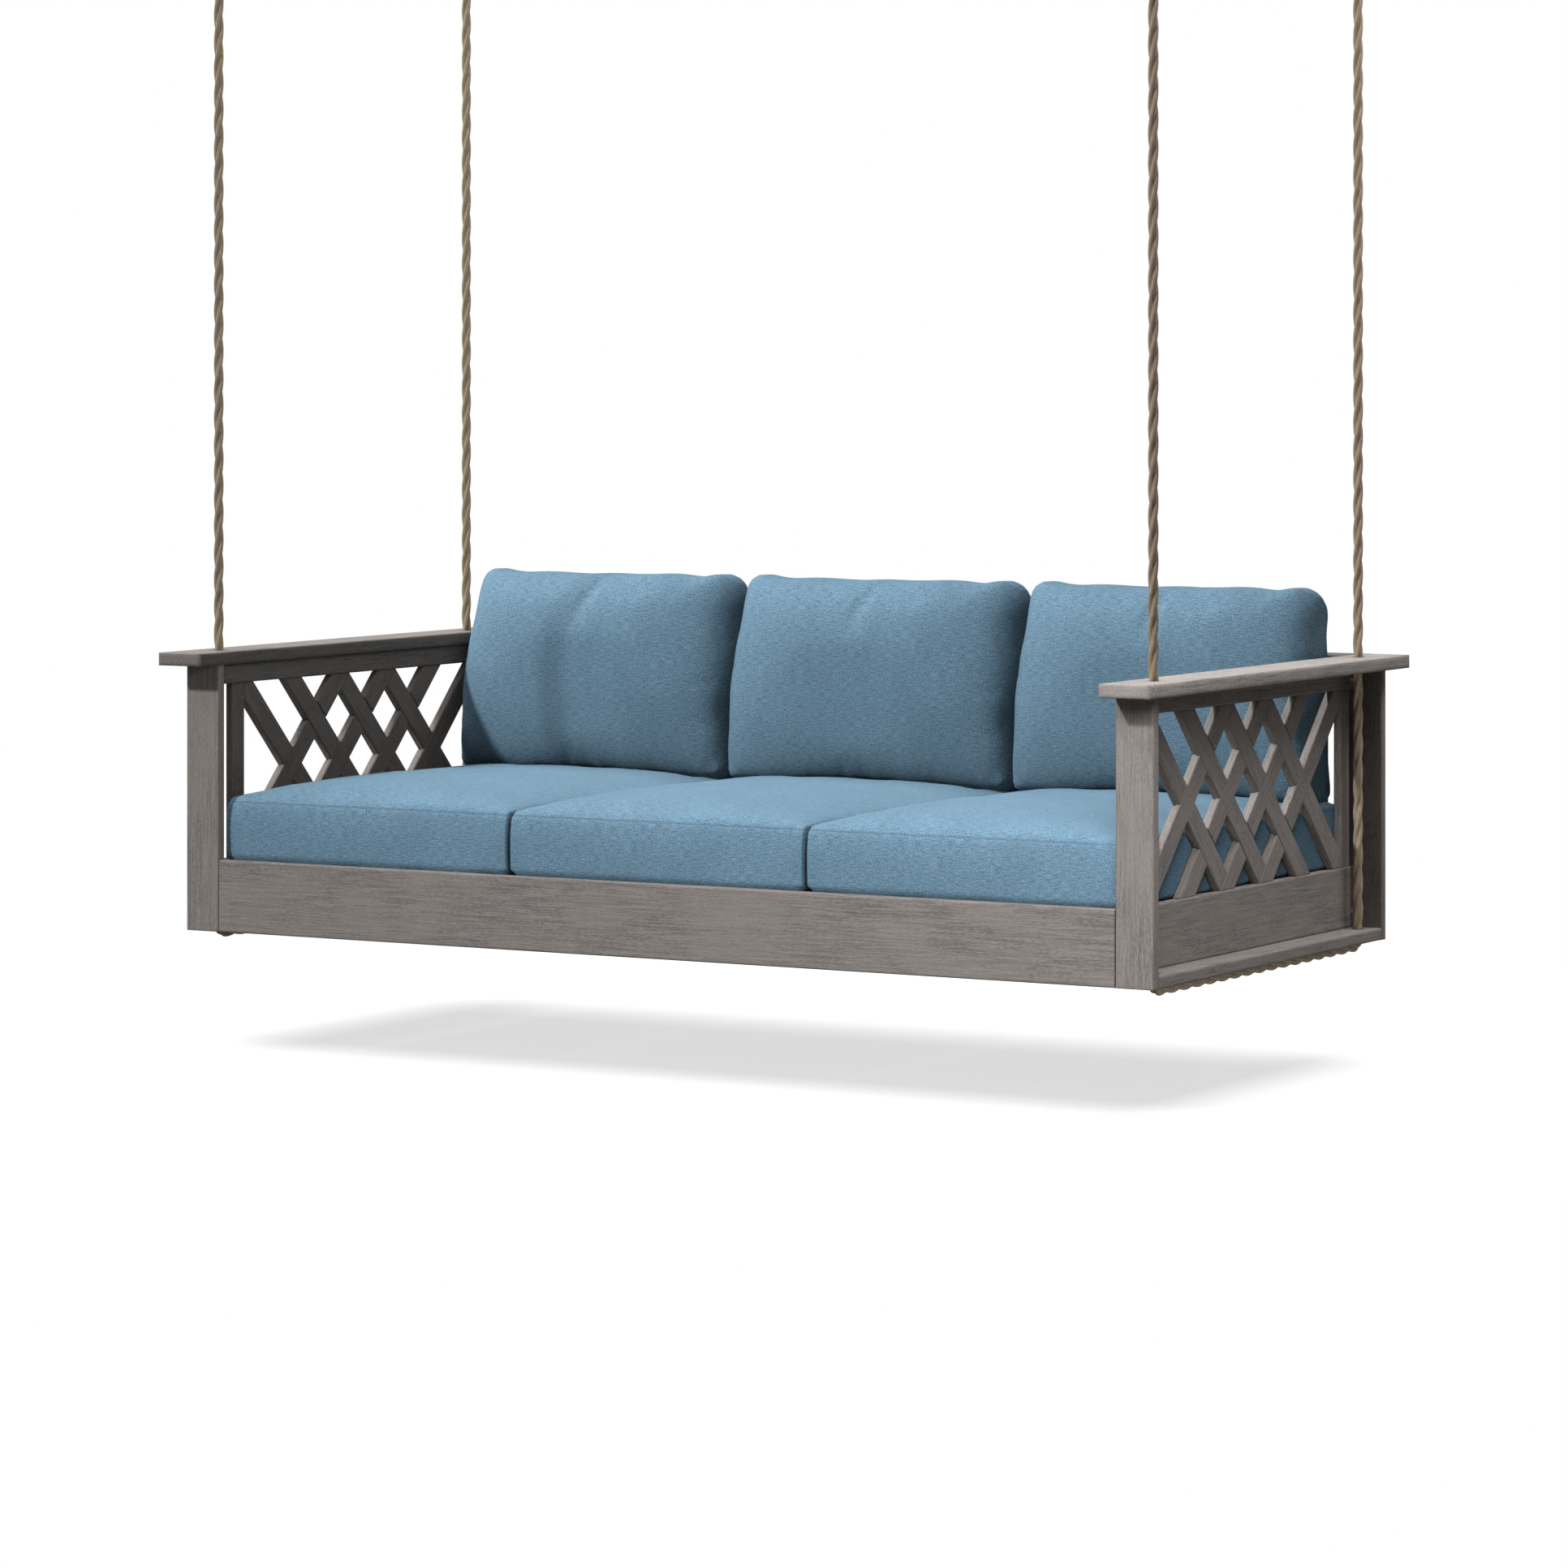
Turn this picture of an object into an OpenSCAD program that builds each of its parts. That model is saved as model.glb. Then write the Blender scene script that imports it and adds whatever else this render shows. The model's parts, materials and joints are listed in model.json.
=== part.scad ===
// Hanging daybed: a slatted seat frame with woven lattice sides and back, carried by two ropes.
// Each rope comes down through an arm, runs under the base board and goes up again.
// Millimetres, +Z up, the bed's length along X and its front towards -Y.
// The origin is on the ceiling, midway between the four ropes.

/* [Overall] */
// Length over the outer sides of the corner posts
bed_w = 2100; // [1700:10:2400]
// Depth over the faces of the corner posts
bed_d = 1010; // [900:10:1150]
// Height from the underside of the bed to the underside of its arms
post_h = 519; // [470:1:600]
// Height of the ceiling above the underside of the bed
hang_h = 2040; // [1700:10:2600]

/* [Posts] */
// Width of a corner post along the bed
post_w = 76; // [66:1:90]
// Thickness of a corner post
post_t = 21; // [18:1:26]

/* [Arms and cap] */
// Width of an arm
arm_w = 104; // [95:1:120]
// Thickness of the arms and the cap
arm_t = 25; // [20:1:32]
// Distance that an arm stands out past the outer side of its posts
arm_side_out = 23.5; // [15:0.5:30]
// Distance that an arm stands out past its posts in front and behind
arm_end_out = 65; // [30:1:90]
// Radius of the upright corners of the arms
arm_corner_r = 9; // [4:1:14]
// Depth of the cap board on the back
cap_w = 100; // [90:1:110]

/* [Rails] */
// Height of the front rail
front_rail_h = 140; // [130:1:160]
// Gap between an end of the front rail and its post
front_rail_gap = 1.5; // [0.5:0.5:4]
// Thickness of the rails of the sides and the back
rail_t = 18; // [17:1:20]
// Height of a top rail
top_rail_h = 38; // [30:1:50]
// Distance that a side panel stands in from the inner edges of its posts
panel_inset = 1; // [0:0.5:4]
// Distance that a back rail reaches past the outer face of a side panel
back_rail_lap = 7; // [7:0.5:9]
// Rounding of the long edges of posts, rails and arms
edge_r = 3; // [1:0.5:4]

/* [Base boards] */
// Width of a base board
base_w = 140; // [130:1:160]
// Thickness of a base board
base_t = 23; // [18:1:26]
// Gap between an end of a base board and its post
base_gap = 1; // [0.5:0.5:3]

/* [Lattice] */
// Width of a lattice slat
slat_w = 45; // [35:1:50]
// Thickness of a lattice slat
slat_t = 16; // [13:1:17]
// Rounding of the long edges of slats and stiles
slat_edge_r = 2; // [1:0.5:3]
// Number of diamonds along a side
side_bays = 5; // [4:1:6]
// Number of diamonds along the back
back_bays = 11; // [9:1:12]
// Play on each side of the notches in the falling slats
tight_lap = 0.2; // [0.1:0.1:0.5]
// Play on each side of the notches in the rising slats
wide_lap = 2; // [0.5:0.5:3]
// Width of a stile
stile_w = 43; // [35:1:50]
// Thickness of a stile
stile_t = 14; // [12:1:16]
// Opening between a front post and the stile behind it
side_slit = 28; // [24:1:34]
// Opening between a back post and the stile beside it
back_slit = 34; // [20:1:50]

/* [Seat] */
// Height of the top of the seat slats above the underside of the bed
seat_h = 135; // [128:1:150]
// Width of a seat slat
seat_slat_w = 89; // [70:1:100]
// Thickness of a seat slat
seat_slat_t = 18; // [15:1:22]
// Number of seat slats
seat_slats_n = 13; // [9:2:15]
// Gap between an outer seat slat and the side panel
seat_slat_gap = 2; // [1:0.5:5]
// Side of the square ledgers and corner cleats
ledger = 38; // [32:1:45]
// Thickness of the bearer under the middle of the seat
bearer_t = 38; // [30:1:45]

/* [Cushions] */
// Height of a seat cushion
seat_cushion_h = 134; // [110:1:160]
// Rounding of a seat cushion's edges
seat_cushion_r = 20; // [12:1:26]
// Height of a back cushion
back_cushion_h = 414; // [350:1:460]
// Thickness of a back cushion
back_cushion_t = 196; // [140:1:230]
// Rounding of a back cushion's edges
back_cushion_r = 46; // [30:1:60]
// Gap between neighbouring cushions
cushion_gap = 0.6; // [0.4:0.1:4]
// Gap between the outer cushions and the side panels
cushion_side_gap = 6; // [3:0.5:12]
// Gap between the seat cushions and the front rail
cushion_front_gap = 1; // [0.5:0.5:6]
// Gap between the cushions and the back panel
cushion_back_gap = 4; // [1:0.5:10]
// Gap under a cushion
rest_gap = 0.3; // [0.2:0.1:0.5]

/* [Ropes] */
// Diameter of the rope
rope_d = 19; // [16:0.5:20]
// Radius of the rope holes in the arms and base boards
rope_hole_r = 12; // [11.5:0.5:13]
// Rounding of the lower rim of a rope hole in a base board
hole_flare = 6; // [4:0.5:8]
// Distance of a rope inwards from the outer side of the posts
rope_inset = 32; // [30:1:34]
// Distance of a front rope behind the front of the posts
front_rope_in = 63; // [56:1:70]
// Distance of a back rope before the back of the posts
back_rope_in = 59; // [56:1:70]
// Gap between the rope and what it bears on
rope_gap = 0.3; // [0.2:0.1:0.4]

/* [Rope eyes] */
// Inner radius of a thimble
thimble_r = 16; // [14:1:20]
// Wall of a thimble under the rope
thimble_wall = 2; // [1.5:0.5:3]
// Height of a thimble's rims over its wall
thimble_rim = 5; // [4:0.5:7]
// Thickness of a thimble's rims
thimble_lip = 2; // [1.5:0.5:3]
// How much the rope's radius is pressed in around a thimble
rope_squeeze = 0.2; // [0.1:0.1:0.5]
// Distance from the middle of a thimble down to where the eye's two legs would cross
throat_drop = 70; // [64:1:80]
// Distance from that crossing up to the end of the eye, the throat
throat_lift = 4; // [3:0.5:6]
// Length of the whipping below the throat
whipping_l = 38; // [30:1:50]
// Thickness of the whipping
whipping_t = 2.5; // [2:0.5:3]

/* [Ceiling brackets] */
// Radius of the bolt that carries a rope
bolt_r = 6; // [5:0.5:7]
// Play of the bolt in its holes
bolt_play = 0.3; // [0.2:0.1:0.4]
// Radius over the corners of the bolt's head and nut
hex_r = 11; // [10:0.5:12]
// Thickness of the bolt's head
head_h = 7.5; // [6:0.5:9]
// Thickness of the nut
nut_h = 10; // [8:0.5:12]
// Length of the bolt past its nut
bolt_tail = 4; // [2:0.5:6]
// Distance of the bolt under the ceiling
bolt_drop = 42; // [41:1:50]
// Length of a ceiling plate along the bed's depth
plate_l = 120; // [112:1:150]
// Width of a ceiling plate
plate_w = 66; // [60:1:90]
// Radius of a ceiling plate's corners
plate_corner_r = 8; // [4:1:10]
// Thickness of a ceiling plate
plate_t = 6; // [5:0.5:8]
// Thickness of a lug of a bracket
lug_t = 6; // [5:0.5:8]
// Radius of the round end of a lug
lug_r = 15; // [13:1:17]
// Gap between a lug and the thimble
lug_play = 2; // [1:0.5:2.5]
// Radius of the screw holes in a ceiling plate
plate_hole_r = 4.5; // [3.5:0.5:5.5]
// Distance between a plate's screw holes along the bed's depth
plate_hole_l = 96; // [90:1:98]
// Distance between a plate's screw holes along the bed's length
plate_hole_w = 42; // [38:1:44]

/* [Screws] */
// Radius of a screw's shank
screw_r = 1.8; // [1.5:0.1:2]
// Radius of a screw's head
screw_head_r = 3.2; // [2.6:0.1:3.3]
// Height of a screw's head
screw_head_h = 2; // [1.5:0.1:2.5]
// Length of a screw under its head
screw_l = 32; // [26:1:34]
// Play around a screw
screw_play = 0.2; // [0.1:0.1:0.3]
// Height of the lower screws of the back rails above the underside of the bed
low_screw_z = 55; // [40:1:110]

/* [Hidden] */
$fn = 64;

lumber = [0.48, 0.45, 0.42];
hidden_lumber = [0.42, 0.39, 0.36];
canvas = [0.36, 0.55, 0.69];
rope_tan = [0.66, 0.58, 0.46];
twine = [0.55, 0.47, 0.35];
zinc = [0.72, 0.73, 0.74];

// Cuts reach this far past the faces that they open
through = 1;

// Frame
half_w = bed_w / 2;
post_in_x = half_w - post_w;
panel_in_x = post_in_x + panel_inset;
panel_out_x = panel_in_x + rail_t;
back_post_y = bed_d - post_t;
back_rail_y = back_post_y - rail_t;
back_rail_w = 2 * (panel_out_x + back_rail_lap);
side_rail_l = back_rail_y - post_t;
top_rail_z = post_h - top_rail_h;
low_rail_h = front_rail_h - base_t;
arm_l = bed_d + 2 * arm_end_out;
arm_out_x = half_w + arm_side_out;
arm_top_z = post_h + arm_t;

// Lattice
lattice_h = top_rail_z - front_rail_h;
side_stile_y = post_t + side_slit;
side_lattice_y = side_stile_y + stile_w;
side_lattice_l = back_rail_y - stile_w - side_lattice_y;
back_lattice_l = 2 * (post_in_x - back_slit - stile_w);

// Seat
slat_z = seat_h - seat_slat_t;
cleat_x = panel_in_x - ledger;
back_ledger_y = back_rail_y - ledger;
outer_slat_x = panel_in_x - seat_slat_gap - seat_slat_w / 2;
slat_step = 2 * outer_slat_x / (seat_slats_n - 1);
slat_xs = [for (i = [0:seat_slats_n - 1]) -outer_slat_x + i * slat_step];
back_screw_x = panel_out_x + back_rail_lap / 2;
top_screw_z = post_h - top_rail_h / 2;

// Cushions
cushion_w = (2 * (panel_in_x - cushion_side_gap) - 2 * cushion_gap) / 3;
cushion_y = post_t + cushion_front_gap;
cushion_d = back_rail_y - cushion_back_gap - cushion_y;
seat_cushion_z = seat_h + rest_gap;
back_cushion_y = back_rail_y - cushion_back_gap - back_cushion_t;
back_cushion_z = seat_cushion_z + seat_cushion_h + rest_gap;

// Ropes: the middle lines of the upright stretches
rope_r = rope_d / 2;
rope_x = half_w - rope_inset;
front_rope_y = front_rope_in;
back_rope_y = bed_d - back_rope_in;
mid_y = (front_rope_y + back_rope_y) / 2;
rope_bend_r = rope_hole_r + hole_flare;
under_z = -rope_r - rope_gap;
under_top_z = arm_top_z - rope_r - rope_gap;

// Rope eyes hang on the bolts
bolt_z = hang_h - bolt_drop;
eye_r = thimble_r + thimble_wall + rope_r;
eye_z = bolt_z + bolt_r + rope_gap - thimble_r;
throat_z = eye_z - throat_drop + throat_lift;
throat_a = asin(eye_r / throat_drop);
eye_leg_l = sqrt(throat_drop * throat_drop - eye_r * eye_r);
thimble_leg_l = eye_leg_l - (eye_r - thimble_r) / tan(throat_a) - 1;
thimble_half_t = rope_r + thimble_lip;
lug_in_x = thimble_half_t + lug_play;
lug_out_x = lug_in_x + lug_t;

// ---- Shapes that repeat ----

module rounded_rect(a, b, r) {
  translate([r, 0])
    square([a - 2 * r, b]);
  translate([0, r])
    square([a, b - 2 * r]);
  for (x = [r, a - r], y = [r, b - r])
    translate([x, y])
      circle(r);
}

// Boards with round long edges, drawn from their lowest corner
module board_x(l, w, h, r = edge_r) {
  rotate([90, 0, 90])
    linear_extrude(l)
      rounded_rect(w, h, r);
}

module board_y(w, l, h, r = edge_r) {
  translate([0, l, 0])
    rotate([90, 0, 0])
      linear_extrude(l)
        rounded_rect(w, h, r);
}

module board_z(w, l, h, r = edge_r) {
  linear_extrude(h)
    rounded_rect(w, l, r);
}

// A block rounded on all its edges
module soft_block(w, l, h, corner_r, r) {
  intersection() {
    board_z(w, l, h, corner_r);
    board_y(w, l, h, r);
    board_x(w, l, h, r);
  }
}

// Repeats at the left and right rope lines
module at_ropes(y) {
  for (side = [-1, 1])
    translate([side * rope_x, y, 0])
      children();
}

module at_all_ropes() {
  for (y = [front_rope_y, back_rope_y])
    at_ropes(y)
      children();
}

// From the bed's own corner frame to the ceiling's
module hung() {
  translate([0, -mid_y, -hang_h])
    children();
}

// ---- Frame ----

module front_rail() {
  length = 2 * (post_in_x - front_rail_gap);
  color(lumber)
    hung()
      translate([-length / 2, 0, 0])
        board_x(length, post_t, front_rail_h);
}

// Screw holes that a back rail shares with the posts behind it
module back_screw_holes() {
  for (x = [-back_screw_x, back_screw_x], z = [low_screw_z, top_screw_z])
    translate([x, back_rail_y, z])
      rotate([-90, 0, 0])
        translate([0, 0, -through])
          cylinder(h = screw_l + 2 * through, r = screw_r + screw_play);
}

module back_rail(z, h) {
  color(lumber)
    hung()
      difference() {
        translate([-back_rail_w / 2, back_rail_y, z])
          board_x(back_rail_w, rail_t, h);
        back_screw_holes();
      }
}

module back_bottom_rail() back_rail(base_t, low_rail_h);

module back_top_rail() back_rail(top_rail_z, top_rail_h);

module front_post(side) {
  color(lumber)
    hung()
      translate([side * (half_w - post_w / 2) - post_w / 2, 0, 0])
        board_z(post_w, post_t, post_h);
}

module back_post(side) {
  color(lumber)
    hung()
      difference() {
        translate([side * (half_w - post_w / 2) - post_w / 2, back_post_y, 0])
          board_z(post_w, post_t, post_h);
        back_screw_holes();
      }
}

module arm(side) {
  color(lumber)
    hung()
      difference() {
        translate([side * (arm_out_x - arm_w / 2) - arm_w / 2, -arm_end_out, post_h])
          soft_block(arm_w, arm_l, arm_t, arm_corner_r, edge_r);
        for (y = [front_rope_y, back_rope_y])
          translate([side * rope_x, y, post_h - through])
            cylinder(h = arm_t + 2 * through, r = rope_hole_r);
      }
}

module back_cap() {
  length = 2 * (arm_out_x - arm_w);
  color(lumber)
    hung()
      translate([-length / 2, bed_d + arm_end_out - cap_w, post_h])
        board_x(length, cap_w, arm_t);
}

// A rope hole with a rounded lower rim
module flared_hole() {
  translate([0, 0, -through])
    cylinder(h = base_t + 2 * through, r = rope_hole_r);
  rotate_extrude()
    difference() {
      translate([0, -through])
        square([rope_bend_r, hole_flare + through]);
      translate([rope_bend_r, hole_flare])
        circle(hole_flare);
    }
}

module base_board(side) {
  length = bed_d - 2 * (post_t + base_gap);
  color(lumber)
    hung()
      difference() {
        translate([side * (half_w - base_w / 2) - base_w / 2, post_t + base_gap, 0])
          board_y(base_w, length, base_t);
        for (y = [front_rope_y, back_rope_y])
          translate([side * rope_x, y, 0])
            flared_hole();
      }
}

// ---- Side and back panels ----

// The left panel is the same panel as the right one, moved along the bed
function panel_x(side) = side > 0 ? panel_in_x : -panel_out_x;

module side_rail(side, z, h) {
  color(lumber)
    hung()
      translate([panel_x(side), post_t, z])
        board_y(rail_t, side_rail_l, h);
}

module bottom_rail(side) side_rail(side, base_t, low_rail_h);

module top_rail(side) side_rail(side, top_rail_z, top_rail_h);

module side_stile(side, y) {
  color(lumber)
    hung()
      translate([panel_x(side) + (rail_t - stile_t) / 2, y, front_rail_h])
        board_z(stile_t, stile_w, lattice_h, slat_edge_r);
}

module front_stile(side) side_stile(side, side_stile_y);

module back_stile(side) side_stile(side, back_rail_y - stile_w);

module rear_stile(side) {
  x = side * (back_lattice_l + stile_w) / 2;
  color(lumber)
    hung()
      translate([x - stile_w / 2, back_rail_y + (rail_t - stile_t) / 2, front_rail_h])
        board_z(stile_w, stile_t, lattice_h, slat_edge_r);
}

// Slat number i of a lattice that is length long: it climbs over two bays, and a falling
// slat is the same slat turned over. play widens it, for the notches that it needs.
module slat_bar(length, bays, i, falling, play) {
  pitch = length / bays;
  run = 2 * pitch;
  climb = atan(lattice_h / run);
  long = norm([run, lattice_h]) + 2 * slat_w;
  width = slat_w + 2 * play;
  translate([(i + 1) * pitch, lattice_h / 2, 0])
    rotate([0, 0, falling ? -climb : climb])
      translate([-long / 2, -width / 2, 0])
        children();
}

module lattice_slat(length, bays, i, falling) {
  long = norm([2 * length / bays, lattice_h]) + 2 * slat_w;
  play = falling ? tight_lap : wide_lap;
  difference() {
    intersection() {
      slat_bar(length, bays, i, falling, 0)
        board_x(long, slat_w, slat_t, slat_edge_r);
      cube([length, lattice_h, slat_t]);
    }
    // Half-lap notches: on the outer half where the other slat passes over, else on the inner
    for (j = [max(0, i - 2):min(bays - 2, i + 2)]) {
      over = ((i + j) % 2 == 0) != falling;
      slat_bar(length, bays, j, !falling, play)
        translate([0, 0, over ? -through : slat_t / 2])
          cube([long, slat_w + 2 * play, slat_t / 2 + through]);
    }
  }
}

module lattice(length, bays, falling) {
  for (i = [0:bays - 2])
    lattice_slat(length, bays, i, falling);
}

module side_slats(side, falling) {
  color(lumber)
    hung()
      translate([panel_x(side), side_lattice_y, front_rail_h])
        rotate([90, 0, 90])
          lattice(side_lattice_l, side_bays, falling);
}

module back_slats(falling) {
  color(lumber)
    hung()
      translate([back_lattice_l / 2, back_rail_y, front_rail_h])
        rotate([90, 0, 180])
          lattice(back_lattice_l, back_bays, falling);
}

// ---- Seat ----

// A screw pointing down, its head's underside at the origin; play widens it into its hole
module screw(play = 0, over = 0) {
  cylinder(h = screw_head_h + over, r = screw_head_r + play);
  translate([0, 0, -screw_l - play])
    cylinder(h = screw_l + play + screw_head_h, r = screw_r + play);
}

module at_seat_screws() {
  for (x = slat_xs, y = [post_t + ledger / 2, back_rail_y - ledger / 2])
    translate([x, y, seat_h - screw_head_h])
      children();
}

module seat_ledger(y) {
  color(hidden_lumber)
    hung()
      difference() {
        translate([-cleat_x, y, slat_z - ledger])
          cube([2 * cleat_x, ledger, ledger]);
        at_seat_screws()
          screw(screw_play);
      }
}

module front_ledger() seat_ledger(post_t);

module back_ledger() seat_ledger(back_ledger_y);

module corner_cleats() {
  color(hidden_lumber)
    hung()
      for (side = [-1, 1], y = [post_t, back_ledger_y])
        translate([side * (panel_in_x - ledger / 2) - ledger / 2, y, base_t])
          cube([ledger, ledger, slat_z - base_t]);
}

module centre_bearer() {
  color(hidden_lumber)
    hung()
      translate([-panel_in_x, (post_t + back_rail_y - bearer_t) / 2, base_t])
        board_x(2 * panel_in_x, bearer_t, slat_z - base_t);
}

module seat_slats() {
  color(hidden_lumber)
    hung()
      difference() {
        for (x = slat_xs)
          translate([x - seat_slat_w / 2, post_t, slat_z])
            board_y(seat_slat_w, side_rail_l, seat_slat_t, slat_edge_r);
        at_seat_screws()
          screw(screw_play, through);
      }
}

module seat_screws() {
  color(zinc)
    hung()
      at_seat_screws()
        screw();
}

module back_rail_screws() {
  color(zinc)
    hung()
      for (x = [-back_screw_x, back_screw_x], z = [low_screw_z, top_screw_z])
        translate([x, back_rail_y, z])
          rotate([90, 0, 0])
            screw();
}

// ---- Cushions ----

function cushion_x(place) = place * (cushion_w + cushion_gap) - cushion_w / 2;

module seat_cushion(place) {
  color(canvas)
    hung()
      translate([cushion_x(place), cushion_y, seat_cushion_z])
        soft_block(cushion_w, cushion_d, seat_cushion_h, seat_cushion_r, seat_cushion_r);
}

module back_cushion(place) {
  color(canvas)
    hung()
      translate([cushion_x(place), back_cushion_y, back_cushion_z])
        soft_block(cushion_w, back_cushion_t, back_cushion_h, back_cushion_r, back_cushion_r);
}

// ---- Ropes ----

// A round tube along stations [y, z, heading, radius] in an upright plane
rope_sides = 12;

function ring(s) = [
  for (k = [0:rope_sides - 1])
    let (a = 360 * k / rope_sides)
      [s[3] * cos(a), s[0] - s[3] * sin(a) * sin(s[2]), s[1] + s[3] * sin(a) * cos(s[2])]
];

module tube(stations) {
  last = len(stations) - 1;
  points = [for (s = stations) each ring(s)];
  walls = [
    for (i = [0:last - 1], k = [0:rope_sides - 1])
      let (a = i * rope_sides + k, b = i * rope_sides + (k + 1) % rope_sides)
        each [[a, b, b + rope_sides], [a, b + rope_sides, a + rope_sides]]
  ];
  start = [for (k = [rope_sides - 1:-1:0]) k];
  end = [for (k = [0:rope_sides - 1]) last * rope_sides + k];
  polyhedron(points, concat([start], walls, [end]), convexity = 6);
}

// Heights of the rings on a rope's upright stretch beside a side panel
under_rise = [under_top_z, 400, 270, 140];
// Distances from the front rope line of the rings on the stretch under a base board
under_run = [160, 300, 444, 588, 728];

module under_rope(side) {
  bend_z = under_z + rope_bend_r;
  front_bend_y = front_rope_y + rope_bend_r;
  back_bend_y = back_rope_y - rope_bend_r;
  down = [for (z = under_rise) [front_rope_y, z, -90, rope_r]];
  first_bend = [
    for (a = [-90:30:0])
      [front_bend_y + rope_bend_r * sin(a), bend_z - rope_bend_r * cos(a), a, rope_r]
  ];
  along = [for (y = under_run) [front_rope_y + y, under_z, 0, rope_r]];
  second_bend = [
    for (a = [0:30:90])
      [back_bend_y + rope_bend_r * sin(a), bend_z - rope_bend_r * cos(a), a, rope_r]
  ];
  up = [for (i = [len(under_rise) - 1:-1:0]) [back_rope_y, under_rise[i], 90, rope_r]];
  color(rope_tan)
    hung()
      translate([side * rope_x, 0, 0])
        tube(concat(down, first_bend, along, second_bend, up));
}

// Heights of the rings on a rope between its round lower end and its throat
rope_rise = [arm_top_z, 760, 980, 1200, 1420, 1640, throat_z];

module upper_rope(side, y) {
  round_end = [for (a = [84, 60, 30]) [y, arm_top_z - rope_r * sin(a), 90, rope_r * cos(a)]];
  shank = [for (z = rope_rise) [y, z, 90, rope_r]];
  color(rope_tan)
    hung()
      translate([side * rope_x, 0, 0])
        tube(concat(round_end, shank));
}

// One leg of an eye, from the throat up to the thimble
module eye_leg() {
  intersection() {
    translate([0, 0, -throat_drop])
      rotate([-throat_a, 0, 0])
        cylinder(h = eye_leg_l, r = rope_r);
    translate([-rope_d, 0, throat_lift - throat_drop])
      cube([2 * rope_d, 2 * eye_r, throat_drop]);
  }
}

module rope_eyes(y) {
  color(rope_tan)
    hung()
      at_ropes(y)
        translate([0, 0, eye_z]) {
          rotate([90, 0, 90])
            rotate([0, 0, -throat_a])
              rotate_extrude(angle = 180 + 2 * throat_a)
                translate([eye_r, 0])
                  circle(rope_r - rope_squeeze);
          for (flip = [0, 1])
            mirror([0, flip, 0])
              eye_leg();
        }
}

// Section of a thimble, its radius along X
module thimble_section() {
  difference() {
    translate([thimble_r, -thimble_half_t])
      square([thimble_wall + thimble_rim, 2 * thimble_half_t]);
    translate([eye_r, 0])
      circle(rope_r + rope_gap);
  }
}

module thimbles(y) {
  color(zinc)
    hung()
      at_ropes(y)
        translate([0, 0, eye_z])
          rotate([90, 0, 90]) {
            rotate([0, 0, -throat_a])
              rotate_extrude(angle = 180 + 2 * throat_a)
                thimble_section();
            for (flip = [0, 1])
              mirror([flip, 0, 0])
                rotate([0, 0, -throat_a])
                  rotate([90, 0, 0])
                    linear_extrude(thimble_leg_l)
                      thimble_section();
          }
}

module whippings(y) {
  color(twine)
    hung()
      at_ropes(y)
        translate([0, 0, throat_z - whipping_l])
          difference() {
            cylinder(h = whipping_l, r = rope_r + whipping_t);
            translate([0, 0, -through])
              cylinder(h = whipping_l + 2 * through, r = rope_r + rope_gap);
          }
}

// ---- Ceiling brackets ----

module bracket(side, y) {
  color(zinc)
    hung()
      translate([side * rope_x, y, 0])
        difference() {
          union() {
            translate([-plate_w / 2, -plate_l / 2, hang_h - plate_t])
              board_z(plate_w, plate_l, plate_t, plate_corner_r);
            for (x = [-lug_out_x, lug_in_x])
              translate([x, 0, bolt_z])
                rotate([90, 0, 90])
                  linear_extrude(lug_t) {
                    circle(lug_r);
                    translate([-lug_r, 0])
                      square([2 * lug_r, bolt_drop - plate_t / 2]);
                  }
          }
          for (x = [-1, 1], y = [-1, 1])
            translate([x * plate_hole_w / 2, y * plate_hole_l / 2, hang_h - plate_t - through])
              cylinder(h = plate_t + 2 * through, r = plate_hole_r);
          translate([-lug_out_x - through, 0, bolt_z])
            rotate([0, 90, 0])
              cylinder(h = 2 * (lug_out_x + through), r = bolt_r + bolt_play);
        }
}

module bracket_bolts() {
  color(zinc)
    hung()
      at_all_ropes()
        translate([-lug_out_x, 0, bolt_z])
          rotate([0, 90, 0]) {
            cylinder(h = 2 * lug_out_x + nut_h + bolt_tail, r = bolt_r);
            translate([0, 0, -head_h])
              cylinder(h = head_h, r = hex_r, $fn = 6);
          }
}

module bracket_nuts() {
  color(zinc)
    hung()
      at_all_ropes()
        translate([lug_out_x, 0, bolt_z])
          rotate([0, 90, 0])
            difference() {
              cylinder(h = nut_h, r = hex_r, $fn = 6);
              translate([0, 0, -through])
                cylinder(h = nut_h + 2 * through, r = bolt_r + bolt_play);
            }
}

front_rail();
back_bottom_rail();
back_top_rail();
back_cap();
front_post(-1);  // front_left_post
front_post(1);  // front_right_post
back_post(-1);  // back_left_post
back_post(1);  // back_right_post
arm(-1);  // left_arm
arm(1);  // right_arm
base_board(-1);  // left_base_board
base_board(1);  // right_base_board
bottom_rail(-1);  // left_bottom_rail
bottom_rail(1);  // right_bottom_rail
top_rail(-1);  // left_top_rail
top_rail(1);  // right_top_rail
front_stile(-1);  // left_front_stile
back_stile(-1);  // left_back_stile
front_stile(1);  // right_front_stile
back_stile(1);  // right_back_stile
side_slats(-1, false);  // left_rising_slats
side_slats(-1, true);  // left_falling_slats
side_slats(1, false);  // right_rising_slats
side_slats(1, true);  // right_falling_slats
rear_stile(-1);  // back_left_stile
rear_stile(1);  // back_right_stile
back_slats(false);  // back_rising_slats
back_slats(true);  // back_falling_slats
front_ledger();
back_ledger();
corner_cleats();
centre_bearer();
seat_slats();
seat_screws();
back_rail_screws();
seat_cushion(-1);  // left_seat_cushion
seat_cushion(0);  // middle_seat_cushion
seat_cushion(1);  // right_seat_cushion
back_cushion(-1);  // left_back_cushion
back_cushion(0);  // middle_back_cushion
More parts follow.
